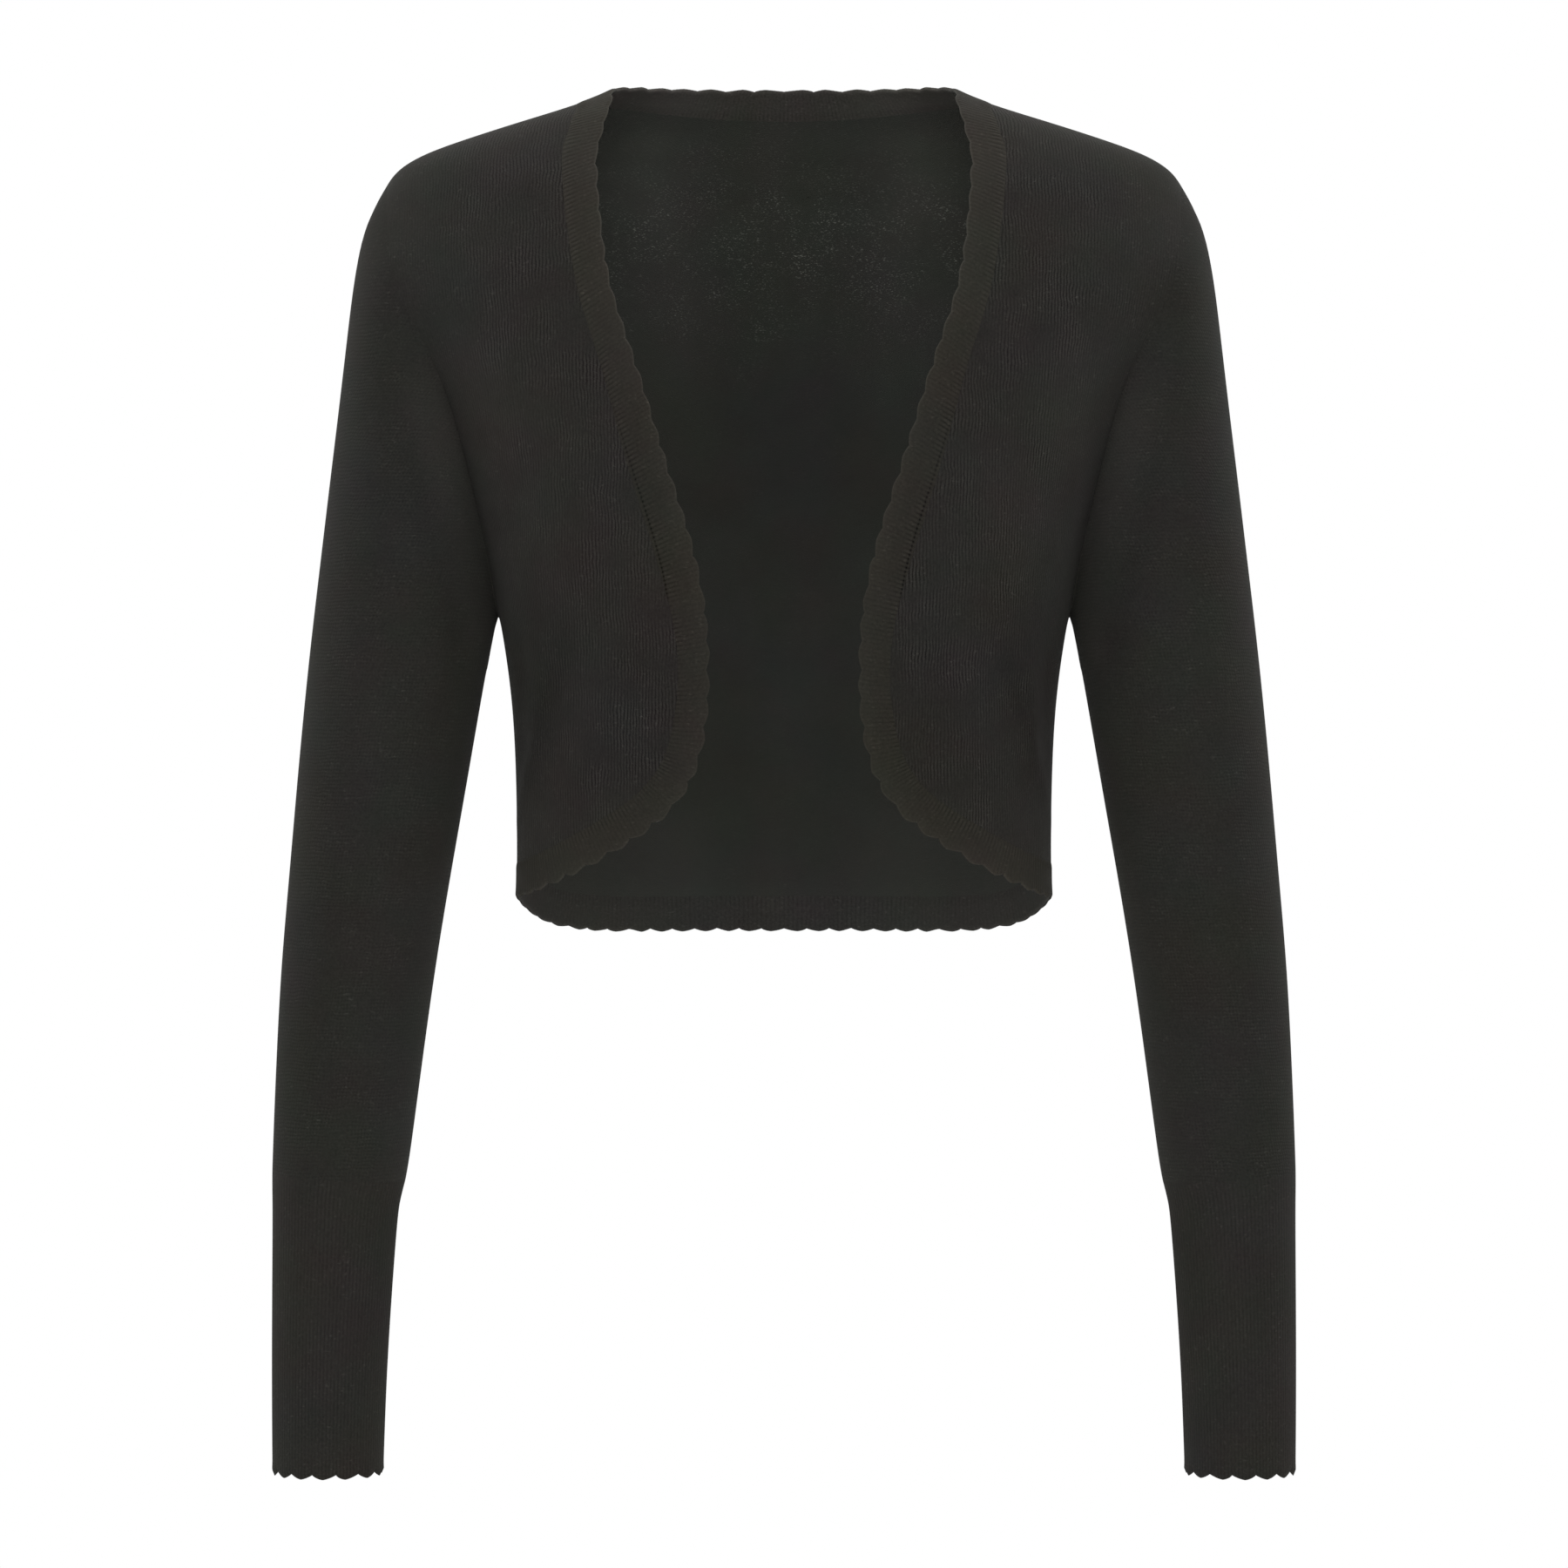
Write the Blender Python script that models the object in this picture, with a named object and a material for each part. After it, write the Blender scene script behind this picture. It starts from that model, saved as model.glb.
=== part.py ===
"""Cropped open cardigan in fine knit, in its worn shape with nobody inside.

Two fronts, a back, two long sleeves, two deep ribbed cuffs, and a ribbed band with a scalloped edge round
the whole opening: back neck, both front edges and hem. Every piece is a thin closed wall, and neighbours
stand GAP apart at their seams. +X is the wearer's left, the front faces -Y, +Z is up and the origin is the
middle of the neck opening. All tables are in millimetres.
"""
from collections import namedtuple
from math import pi

import bpy
import numpy as np

MM = 0.001
WALL = 1.5  # cloth of the body and sleeves
RIB_WALL = 2.0  # ribbed cloth of the bands and cuffs
RIB_LIFT = 0.3  # how far the band stands out of the body's cloth
GAP = 0.3  # between neighbouring pieces
MITRE_LIMIT = 0.62  # least cosine used where two pieces meet in a fold

SHOULDER_STEPS = 8
ARMHOLE_STEPS = 14
SIDE_STEPS = 10
ARMHOLE_PART = slice(SHOULDER_STEPS, SHOULDER_STEPS + ARMHOLE_STEPS + 1)  # of a panel's outline
BACK_COLUMNS = 9  # on each half of the back
LOOP_SAMPLES = 1600

NECK_SCALLOPS = 7  # on each half of the back neck
FRONT_SCALLOPS = 39
HEM_SCALLOPS = 15  # on each half of the back hem
CUFF_SCALLOPS = 14
SCALLOP_STEPS = 4
CUFF_SCALLOP_DEPTH = 2.2
BAND_COLUMNS = np.array((0.0, 0.7, 1.0))  # share of the way from the band's seam to its edge

KNIT_COLOUR = (0.0240, 0.0232, 0.0212, 1.0)
RIB_COLOUR = (0.0262, 0.0252, 0.0230, 1.0)
KNIT_ROUGHNESS = 0.88
SMALLEST = 1e-9

Loop = namedtuple("Loop", "edge seam tuck scallop length")
Seam = namedtuple("Seam", "outer inner across")


def table(names, *rows):
    """Columns by name, from one row per section."""
    return dict(zip(names.split(), np.array(rows, float).T))


# The body's sections. half_width: centre line to side or shoulder seam. front, back: depth of the section
# before and behind that seam. fullness: how far the section swells past an ellipse.
BODY = table(
    "level half_width front back fullness",
    (12, 42.0, 22, 40, 0.00),
    (6, 62.0, 26, 45, 0.00),
    (0, 77.5, 30, 50, 0.01),
    (-8, 97.0, 35, 56, 0.02),
    (-16, 122.0, 40, 61, 0.03),
    (-24, 147.0, 45, 65, 0.03),
    (-32, 168.5, 50, 69, 0.04),
    (-39, 180.0, 55, 72, 0.05),
    (-46, 185.4, 60, 75, 0.06),
    (-60, 189.5, 68, 79, 0.07),
    (-80, 190.5, 78, 84, 0.08),
    (-100, 186.5, 86, 87, 0.09),
    (-122, 174.0, 93, 88, 0.10),
    (-146, 161.0, 99, 88, 0.11),
    (-172, 151.5, 104, 87, 0.12),
    (-205, 142.5, 107, 84, 0.12),
    (-246, 134.3, 105, 79, 0.11),
    (-287, 128.3, 98, 73, 0.10),
    (-328, 126.0, 91, 69, 0.09),
    (-369, 125.7, 88, 68, 0.09),
    (-410, 127.0, 88, 70, 0.09),
)

# The free edge of the opening on one half, from the centre of the back neck over the shoulder, down the
# front and round to the centre of the back hem. around: 0 centre front, 1 side or shoulder seam, 2 centre
# back. width: of the band. tuck: how far its edge turns in toward the body. scallop: its scallops' depth.
OPENING = table(
    "around level width tuck scallop",
    (2.000, 4.0, 17.5, 0, 1.1),
    (1.820, 3.9, 17.5, 0, 1.1),
    (1.640, 3.5, 17.5, 0, 1.1),
    (1.430, 2.8, 17.5, 0, 1.1),
    (1.200, 1.8, 18.5, 0, 1.1),
    (1.000, -0.2, 19.5, 0, 1.0),
    (0.790, -3.2, 18.5, 0, 1.0),
    (0.610, -8.2, 17.5, 0, 1.0),
    (0.450, -17.0, 17.0, 0, 1.0),
    (0.325, -33.2, 17.0, 0, 1.0),
    (0.282, -56.0, 16.5, 0, 1.0),
    (0.262, -88.0, 16.0, 0, 1.1),
    (0.249, -121.0, 16.0, 0, 1.2),
    (0.229, -157.0, 17.5, 0, 1.3),
    (0.194, -197.0, 18.5, 0, 1.4),
    (0.164, -232.0, 17.5, 2, 1.4),
    (0.156, -272.0, 14.0, 6, 1.4),
    (0.167, -302.0, 15.0, 5, 1.6),
    (0.196, -325.0, 16.5, 2, 1.9),
    (0.262, -343.0, 17.0, 0, 2.2),
    (0.355, -355.5, 17.0, 0, 2.2),
    (0.453, -364.5, 17.0, 0, 2.2),
    (0.586, -373.0, 17.0, 0, 2.1),
    (0.740, -378.8, 17.0, 0, 1.6),
    (0.900, -381.0, 17.0, 0, 0.8),
    (1.050, -382.8, 17.0, 0, 0.4),
    (1.190, -388.3, 17.0, 0, 0.4),
    (1.344, -394.8, 17.0, 0, 0.8),
    (1.520, -398.3, 17.0, 0, 1.2),
    (1.760, -398.9, 17.0, 0, 1.4),
    (2.000, -398.9, 17.0, 0, 1.4),
)

# The armhole, from the shoulder point down to the underarm. front, back: its depth either side of the side
# seam, which gets small low down, where the sleeve and the body's side fold against each other.
ARMHOLE = table(
    "share level front back",
    (0.00, -46.0, 0.0, 0.0),
    (0.08, -50.0, 10.5, 10.0),
    (0.18, -62.0, 20.0, 19.0),
    (0.32, -86.0, 29.5, 28.0),
    (0.46, -115.0, 34.0, 32.0),
    (0.60, -150.0, 29.0, 28.0),
    (0.74, -186.0, 20.5, 20.0),
    (0.87, -219.0, 12.5, 12.5),
    (0.96, -241.0, 5.5, 5.5),
    (1.00, -246.0, 0.0, 0.0),
)

# The sleeve's rings. Each is given by its outer and inner point, its depth and how far forward it stands.
# hold: the share of the armhole's own shape it keeps. The first ring is the armhole and the last is the
# cuff's seam.
SLEEVE = table(
    "outer_x outer_level inner_x inner_level depth forward hold",
    (185.4, -46.0, 134.30, -246.0, 31.0, 0.0, 1.00),
    (189.3, -52.0, 134.55, -247.3, 34.5, 0.0, 0.80),
    (193.7, -60.5, 134.85, -248.8, 38.0, 0.0, 0.60),
    (198.3, -74.0, 135.20, -250.5, 41.5, 0.0, 0.42),
    (202.4, -96.0, 135.80, -253.2, 44.5, 0.0, 0.26),
    (206.0, -124.0, 136.50, -257.0, 46.5, 0.5, 0.14),
    (209.8, -156.0, 137.30, -261.2, 47.5, 1.0, 0.06),
    (213.9, -190.0, 138.30, -266.5, 48.0, 1.5, 0.02),
    (218.4, -228.0, 139.60, -273.5, 47.0, 2.0, 0.00),
    (223.2, -270.0, 141.40, -282.5, 45.5, 2.5, 0.00),
    (228.0, -320.0, 149.60, -330.0, 43.0, 4.0, 0.00),
    (232.4, -372.0, 158.20, -380.0, 40.0, 6.0, 0.00),
    (236.0, -418.0, 165.20, -425.0, 37.5, 8.0, 0.00),
    (238.3, -465.0, 171.40, -471.0, 35.0, 10.0, 0.00),
    (239.4, -496.0, 175.40, -501.0, 33.3, 11.5, 0.00),
    (239.8, -510.0, 177.60, -514.0, 32.5, 12.0, 0.00),
)

CUFF = table(
    "outer_x outer_level inner_x inner_level depth forward",
    (239.7, -520.0, 179.90, -523.0, 31.0, 12.3),
    (239.6, -540.0, 182.00, -542.0, 29.8, 13.0),
    (239.7, -596.0, 185.60, -596.5, 28.0, 15.0),
    (239.3, -651.0, 187.60, -651.0, 26.8, 17.0),
)


# Curves and vectors ------------------------------------------------------------------------------------


def curve(at, knots, values):
    """Smooth curve through the values at the knots, read at the given places."""
    if knots[0] > knots[-1]:
        knots, values = knots[::-1], values[::-1]
    span = np.diff(knots)
    system = np.eye(len(knots))
    bend = np.zeros_like(values)
    for k in range(1, len(knots) - 1):
        system[k, k - 1 : k + 2] = span[k - 1], 2 * (span[k - 1] + span[k]), span[k]
        bend[k] = 6 * ((values[k + 1] - values[k]) / span[k] - (values[k] - values[k - 1]) / span[k - 1])
    bend = np.linalg.solve(system, bend)
    k = np.clip(np.searchsorted(knots, at) - 1, 0, len(span) - 1)
    before = (knots[k + 1] - at) / span[k]
    after = (at - knots[k]) / span[k]
    straight = before * values[k] + after * values[k + 1]
    return straight + ((before**3 - before) * bend[k] + (after**3 - after) * bend[k + 1]) * span[k] ** 2 / 6


def unit(vectors):
    length = np.linalg.norm(vectors, axis=-1, keepdims=True)
    return vectors / np.maximum(length, SMALLEST)


def dot(a, b):
    return np.sum(a * b, axis=-1, keepdims=True)


def pick(rows, position):
    """Rows of an array at fractional positions."""
    steps = np.arange(len(rows))
    return np.stack([np.interp(position, steps, column) for column in rows.T], axis=-1)


def length_along(points):
    return np.concatenate(([0.0], np.cumsum(np.linalg.norm(np.diff(points, axis=0), axis=1))))


def even_positions(length, first, last, count):
    """Positions that cut a stretch of a line in equal lengths."""
    steps = np.arange(len(length))
    ends = np.interp((first, last), steps, length)
    return np.interp(np.linspace(*ends, count + 1), length, steps)


def even_line(chart, count):
    """A line on the form, cut in equal lengths."""
    length = length_along(form_point(chart))
    return pick(chart, even_positions(length, 0, len(chart) - 1, count))


def mirrored(points):
    return points * (-1, 1, 1)


# The body's form ---------------------------------------------------------------------------------------


def form_point(chart):
    """Points of the body's form, from (around, level) pairs."""
    around, level = chart[..., 0], chart[..., 1]
    half_width, front, back, fullness = (
        curve(level, BODY["level"], BODY[name]) for name in ("half_width", "front", "back", "fullness")
    )
    turn = around * pi / 2
    depth = np.where(around < 1, front, back)
    x = half_width * np.sin(turn) * (1 + fullness * np.cos(turn) ** 2)
    y = -depth * np.cos(turn) * (1 + fullness * np.sin(turn) ** 2)
    return np.stack((x, y, level), axis=-1)


def form_slopes(chart):
    """How the form's point moves with each of the chart's two numbers."""
    slopes = []
    for step in ((0.002, 0.0), (0.0, 0.2)):
        ahead, behind = form_point(chart + step), form_point(chart - np.array(step))
        slopes.append((ahead - behind) / (2 * sum(step)))
    return slopes


def form_normal(chart):
    around_slope, level_slope = form_slopes(chart)
    return unit(np.cross(around_slope, level_slope))


def step_across(chart, run, distance, steps=6):
    """Moves points over the form, square to their run, to the cloth's side of it."""
    for _ in range(steps):
        around_slope, level_slope = form_slopes(chart)
        side = np.cross(unit(np.cross(around_slope, level_slope)), run) * distance / steps
        aa, bb, ab = (np.sum(p * q, axis=-1) for p, q in (
            (around_slope, around_slope), (level_slope, level_slope), (around_slope, level_slope)))
        sa, sb = np.sum(around_slope * side, axis=-1), np.sum(level_slope * side, axis=-1)
        determinant = aa * bb - ab**2
        chart = chart + np.stack((sa * bb - sb * ab, sb * aa - sa * ab), axis=-1) / determinant[..., None]
    return chart


def around_at_depth(level, depth, limit):
    """Where the form's section has this depth, out of its greatest depth there."""
    fullness = curve(level, BODY["level"], BODY["fullness"])
    low, high = np.zeros_like(level), np.ones_like(level)
    for _ in range(50):
        middle = (low + high) / 2
        turn = middle * pi / 2
        deeper = limit * np.cos(turn) * (1 + fullness * np.sin(turn) ** 2) > depth
        low, high = np.where(deeper, middle, low), np.where(deeper, high, middle)
    return middle


def trace_opening():
    """The opening's edge and the band's seam on one half, finely sampled."""
    knots = np.stack((OPENING["around"], OPENING["level"]), axis=-1)
    rough = length_along(form_point(knots))
    at = np.linspace(0, rough[-1], LOOP_SAMPLES)
    around, level, width, tuck, scallop = (
        curve(at, rough, OPENING[name]) for name in ("around", "level", "width", "tuck", "scallop")
    )
    edge = np.stack((around, level), axis=-1)
    points = form_point(edge)
    run = unit(np.gradient(points, axis=0))
    seam = step_across(edge, run, width[:, None])
    seam[[0, -1], 0] = 2.0
    return Loop(edge, seam, tuck, scallop, length_along(points))


def side_crossings(chart):
    """Positions where a line round the half passes the shoulder seam and the side seam."""
    before = np.flatnonzero(np.diff(np.sign(chart[:, 0] - 1)))[[0, -1]]
    share = (1 - chart[before, 0]) / (chart[before + 1, 0] - chart[before, 0])
    return before + share


# Seams -------------------------------------------------------------------------------------------------


def joined_seam(points, normals, toward, other_normals=None, closed=False):
    """The line two pieces share, through the cloth and square to it, with the direction across it."""
    if other_normals is None:
        other_normals = normals
    middle = unit(normals + other_normals)
    stretch = 1 / np.maximum(dot(middle, normals), MITRE_LIMIT)
    ahead, behind = np.roll(points, -1, axis=0), np.roll(points, 1, axis=0)
    if not closed:
        ahead[-1], behind[0] = points[-1], points[0]
    across = unit(np.cross(ahead - behind, middle))
    across = across * np.where(dot(across, toward) < 0, -1, 1)
    return Seam(points, points - WALL * stretch * middle, across)


def form_seam(chart, toward):
    return joined_seam(form_point(chart), form_normal(chart), toward)


def row_shift(seam, side):
    """How a piece's points on a seam move off it. side: 1 on the seam's far side, -1 on its near side."""
    return seam.across * side * GAP / 2


def tip_shift(tip, ahead_a, ahead_b):
    """How a piece's tip moves in to stand off both of its edges."""
    a, b = unit(ahead_a - tip), unit(ahead_b - tip)
    return (a + b) * GAP / 2 / np.linalg.norm(np.cross(a, b))


def grid_normals(points):
    """Outward normals of a tube's grid of rings."""
    round_ring = np.roll(points, -1, axis=1) - np.roll(points, 1, axis=1)
    down = np.gradient(points, axis=0)
    return unit(np.cross(round_ring, down))


# Solids ------------------------------------------------------------------------------------------------


def add_wall(name, outer, inner, colour, ring=False):
    """A closed solid between an outer and an inner grid of points. ring: the rows close on themselves."""
    rows, columns = outer.shape[:2]
    points = np.concatenate((outer.reshape(-1, 3), inner.reshape(-1, 3))) * MM
    points, number = np.unique(points.round(8), axis=0, return_inverse=True)
    number = number.reshape(2, rows, columns)
    faces = []
    for row in range(rows - 1):
        for column in range(columns if ring else columns - 1):
            beside = (column + 1) % columns
            a, b, c, d = (row, column), (row + 1, column), (row + 1, beside), (row, beside)
            if np.linalg.norm(outer[a] - outer[c]) > np.linalg.norm(outer[b] - outer[d]):
                a, b, c, d = b, c, d, a
            for triangle in ((a, b, c), (a, c, d)):
                faces.append([number[0][corner] for corner in triangle])
                faces.append([number[1][corner] for corner in reversed(triangle)])
    borders = []
    for column in range(columns if ring else columns - 1):
        borders.append(((0, column), (0, (column + 1) % columns)))
        borders.append(((rows - 1, (column + 1) % columns), (rows - 1, column)))
    for row in range(0 if ring else rows - 1):
        borders.append(((row + 1, 0), (row, 0)))
        borders.append(((row, columns - 1), (row + 1, columns - 1)))
    for a, b in borders:
        # split from the higher outer point to the lower inner one, as the neighbour's facing border is
        outer_a, outer_b, inner_b, inner_a = number[0][a], number[0][b], number[1][b], number[1][a]
        if outer[a][2] >= outer[b][2]:
            faces += [[outer_a, outer_b, inner_b], [outer_a, inner_b, inner_a]]
        else:
            faces += [[outer_a, outer_b, inner_a], [outer_b, inner_b, inner_a]]
    add_mesh(name, points, faces, colour)


def add_mesh(name, points, faces, colour):
    """A mesh object from triangles, without those that have shrunk to a line, and turned outward."""
    clean = [[int(v) for v in face] for face in faces if len(set(face)) == 3]
    a, b, c = points[np.array(clean)].transpose(1, 0, 2)
    if np.sum(dot(a, np.cross(b, c))) < 0:
        clean = [face[::-1] for face in clean]
    centre = ((points.min(axis=0) + points.max(axis=0)) / 2).round(3)
    mesh = bpy.data.meshes.new(name)
    mesh.from_pydata((points - centre).tolist(), [], clean)
    mesh.materials.append(knit_material(f"{name}_knit", colour))
    piece = bpy.data.objects.new(name, mesh)
    piece.location = centre
    piece.parent = root
    collection.objects.link(piece)


def add_pair(name, outer, inner, colour, ring=False):
    """The wearer's left piece and its mirror image."""
    add_wall(f"{name}_left", outer, inner, colour, ring)
    add_wall(f"{name}_right", mirrored(outer), mirrored(inner), colour, ring)


def whole(half):
    """A grid over both halves, from a half's grid whose last column is the centre line."""
    return np.concatenate((half, mirrored(half[:, -2::-1])), axis=1)


def knit_material(name, colour):
    material = bpy.data.materials.new(name)
    material.use_nodes = True
    shader = next(node for node in material.node_tree.nodes if node.type == "BSDF_PRINCIPLED")
    shader.inputs["Base Color"].default_value = colour
    shader.inputs["Roughness"].default_value = KNIT_ROUGHNESS
    shader.inputs["Metallic"].default_value = 0.0
    material.diffuse_color = colour
    return material


# Pieces ------------------------------------------------------------------------------------------------


def armhole_line(side):
    """The armhole on the front or the back, from the shoulder point to the underarm."""
    share = np.linspace(0, 1, 200)
    level, depth = (curve(share, ARMHOLE["share"], ARMHOLE[name]) for name in ("level", side))
    around = around_at_depth(level, np.maximum(depth, 0), curve(level, BODY["level"], BODY[side]))
    if side == "back":
        around = 2 - around
    around[[0, -1]] = 1.0
    return even_line(np.stack((around, level), axis=-1), ARMHOLE_STEPS)


def seam_line(first_level, last_level, count):
    """A stretch of the shoulder seam or the side seam."""
    level = np.linspace(first_level, last_level, count + 1)
    return np.stack((np.ones_like(level), level), axis=-1)


def outline(side, top_level, bottom_level):
    """A panel's outer outline: shoulder seam, armhole and side seam."""
    armhole = armhole_line(side)
    shoulder = seam_line(top_level, armhole[0, 1], SHOULDER_STEPS)
    side_seam = seam_line(armhole[-1, 1], bottom_level, SIDE_STEPS)
    return np.concatenate((shoulder[:-1], armhole, side_seam[1:]))


def ellipse_rings(rows, stations):
    """Rings through their outer and inner points, from the outer point round by the front."""
    outer = np.stack((rows["outer_x"], -rows["forward"], rows["outer_level"]), axis=-1)
    inner = np.stack((rows["inner_x"], -rows["forward"], rows["inner_level"]), axis=-1)
    turn = np.linspace(0, 2 * pi, stations, endpoint=False)[None, :, None]
    centre, reach = (outer + inner)[:, None] / 2, (outer - inner)[:, None] / 2
    depth = rows["depth"][:, None, None] * np.array((0, -1, 0))
    return centre + reach * np.cos(turn) + depth * np.sin(turn)


def sleeve_rings(front_armhole, back_armhole):
    """The sleeve's rings, the first of them the armhole itself."""
    armhole = np.concatenate((form_point(front_armhole), form_point(back_armhole)[-2:0:-1]))
    rings = ellipse_rings(SLEEVE, len(armhole))
    return rings + SLEEVE["hold"][:, None, None] * (armhole - rings[0])


def add_sleeves_and_cuffs(sleeve, armhole):
    """The sleeve tube from the armhole's seam to the cuff, and the cuff below it with its scalloped end."""
    normals = grid_normals(sleeve)
    wrist = joined_seam(sleeve[-1], normals[-1], np.array((0, 0, -1)), closed=True)
    outer, inner = sleeve.copy(), sleeve - WALL * normals
    inner[0], inner[-1] = armhole.inner, wrist.inner
    for grid in (outer, inner):
        grid[0] += row_shift(armhole, 1)
        grid[-1] += row_shift(wrist, -1)
    add_pair("sleeve", outer, inner, KNIT_COLOUR, ring=True)

    stations = CUFF_SCALLOPS * SCALLOP_STEPS
    position = np.arange(stations) * sleeve.shape[1] / stations
    first_outer, first_inner, across = (pick(np.concatenate((line, line[:1])), position) for line in wrist)
    rings = ellipse_rings(CUFF, stations)
    rings[-1] += CUFF_SCALLOP_DEPTH * scallop_notch(stations)[:, None] * unit(rings[-2] - rings[-1])
    outer = np.concatenate((first_outer[None], rings))
    normals = grid_normals(outer)
    inner = outer - RIB_WALL * normals
    inner[0] = first_inner
    for grid in (outer, inner):
        grid[0] += across * GAP / 2
    add_pair("cuff", outer, inner, RIB_COLOUR, ring=True)


def scallop_notch(stations):
    """How far each station of an edge lies short of the scallops' tips, from 0 to 1."""
    phase = np.arange(stations) / SCALLOP_STEPS % 1
    return 0.6 * (1 - np.sin(pi * phase) ** 0.9) + 0.4 * np.abs(2 * phase - 1)


def add_fronts(outline_chart, outline_line, seam_positions):
    """The front: its top row is the shoulder seam, and its rows shrink to a tip at the side seam."""
    left, right = pick(opening.seam, seam_positions), outline_chart[SHOULDER_STEPS:]
    share = np.linspace(0, 1, SHOULDER_STEPS + 1)[:, None]
    chart = left[:, None] * (1 - share) + right[:, None] * share
    left_seam = form_seam(left, form_point(pick(opening.edge, seam_positions)) - form_point(left))
    outer = form_point(chart)
    inner = outer - WALL * form_normal(chart)
    inner[:, -1] = outline_line.inner[SHOULDER_STEPS:]
    shift = np.zeros_like(outer)
    shift[0] = outline_line.across[: SHOULDER_STEPS + 1]
    shift[:, -1] = outline_line.across[SHOULDER_STEPS:]
    shift[:, 0] += row_shift(left_seam, -1)
    shift[-1] = tip_shift(outer[-1, 0], outer[-2, 0], outer[-2, -1])
    add_pair("front", outer + shift, inner + shift, KNIT_COLOUR)
    return left_seam


def add_back(side, side_seam, neck_positions, hem_positions):
    """The back, whose rows bend from the neck's line to the hem's."""
    neck, hem = pick(opening.seam, neck_positions), pick(opening.seam, hem_positions)
    share = np.linspace(0, 1, BACK_COLUMNS + 1)
    chart = np.empty((len(side), BACK_COLUMNS + 1, 2))
    for row, (around, level) in enumerate(side):
        down = (level - side[0, 1]) / (side[-1, 1] - side[0, 1])
        chart[row, :, 0] = around + share * (2 - around)
        neck_level, hem_level = (np.interp(chart[row, :, 0], *line.T) for line in (neck, hem))
        rise = (1 - down) * (neck_level - neck_level[0]) + down * (hem_level - hem_level[0])
        chart[row, :, 1] = level + rise
    neck_seam = form_seam(neck, np.array((0, 0, 1)))
    hem_seam = form_seam(hem, np.array((0, 0, -1)))
    outer = form_point(chart)
    inner = outer - WALL * form_normal(chart)
    inner[:, 0] = side_seam.inner
    shift = np.zeros_like(outer)
    shift[0] += row_shift(neck_seam, -1)
    shift[-1] += row_shift(hem_seam, -1)
    shift[:, 0] += side_seam.across
    shift[:, -1, 0] = 0
    add_wall("back", whole(outer + shift), whole(inner + shift), KNIT_COLOUR)
    return neck_seam, hem_seam


def band_grids(edge_ends, seam_ends, scallops, seam, seam_positions, last_open=True):
    """A band's outer and inner grids, from the body's seam to the scalloped edge.

    seam_positions: of the body's points on the seam, so that the band keeps to the same straight steps.
    last_open: whether the band's last end stands off a neighbour, and is not on the centre line.
    """
    count = scallops * SCALLOP_STEPS
    edge_position = even_positions(opening.length, *edge_ends, count)
    done = (edge_position - edge_ends[0]) / (edge_ends[1] - edge_ends[0])
    seam_position = seam_ends[0] + done * (seam_ends[1] - seam_ends[0])
    order = np.argsort(seam_positions)
    base, across = (
        np.stack([np.interp(seam_position, seam_positions[order], axis) for axis in line[order].T], axis=-1)
        for line in (seam.outer, seam.across)
    )
    start, edge = pick(opening.seam, seam_position), pick(opening.edge, edge_position)
    width = np.linalg.norm(form_point(edge) - form_point(start), axis=-1)
    share = np.repeat(BAND_COLUMNS[None], count + 1, axis=0)
    tuck, depth = pick(np.stack((opening.tuck, opening.scallop), axis=-1), edge_position).T
    share[:, -1] -= depth * scallop_notch(count + 1) / width
    share = share[..., None]
    chart = start[:, None] * (1 - share) + edge[:, None] * share
    normals = form_normal(chart)
    middle = form_point(chart) - normals * tuck[:, None, None] * share**2
    middle[:, 0] = base + across * GAP / 2
    for end, neighbour in ((0, 1), (-1, -2))[: 1 + last_open]:
        line = unit(middle[end, -1] - middle[end, 0])
        inward = middle[neighbour] - middle[end]
        middle[end] += unit(inward - dot(inward, line) * line) * GAP / 2
    grids = middle + RIB_LIFT * normals, middle - (RIB_WALL - RIB_LIFT) * normals
    if not last_open:
        for grid in grids:
            grid[-1, :, 0] = 0
    return [np.swapaxes(grid, 0, 1) for grid in grids]


def outline_seam(chart, side):
    """The line along a panel's outline. Its last part is how far the panel's points move off the line."""
    plain = form_seam(chart, np.array((0, 1, 0)))
    inner, shift = plain.inner.copy(), row_shift(plain, side)
    stations = np.arange(ARMHOLE_STEPS + 1) * -side % len(armhole.outer)
    inner[ARMHOLE_PART] = armhole.inner[stations]
    shift[ARMHOLE_PART][1:-1] = 0
    shift[ARMHOLE_PART] += row_shift(armhole, -1)[stations]
    return Seam(plain.outer, inner, shift)


def front_seam_positions(ends, outline_chart):
    """Positions on the band's seam that share its length out as the armhole and side seam are shared out."""
    length = length_along(form_point(opening.seam))
    steps = np.arange(LOOP_SAMPLES)
    first, last = np.interp(ends, steps, length)
    share = length_along(form_point(outline_chart[SHOULDER_STEPS:]))
    return np.interp(first + share / share[-1] * (last - first), length, steps)


def back_seam_positions(first, last):
    """Positions on the band's seam at even shares of the way from the side to the centre back."""
    steps = np.arange(first, last, 1 if last > first else -1)
    shares = np.linspace(1, 2, BACK_COLUMNS + 1)
    return np.interp(shares, opening.seam[steps, 0], steps)


for old in list(bpy.data.objects):
    bpy.data.objects.remove(old, do_unlink=True)
collection = bpy.data.collections.new("cardigan")
bpy.context.scene.collection.children.link(collection)
root = bpy.data.objects.new("cardigan", None)
collection.objects.link(root)

opening = trace_opening()
edge_shoulder, edge_side = side_crossings(opening.edge)
seam_shoulder, seam_side = side_crossings(opening.seam)
centre_hem = LOOP_SAMPLES - 1
top_level, bottom_level = pick(opening.seam, np.array((seam_shoulder, seam_side)))[:, 1]

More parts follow.
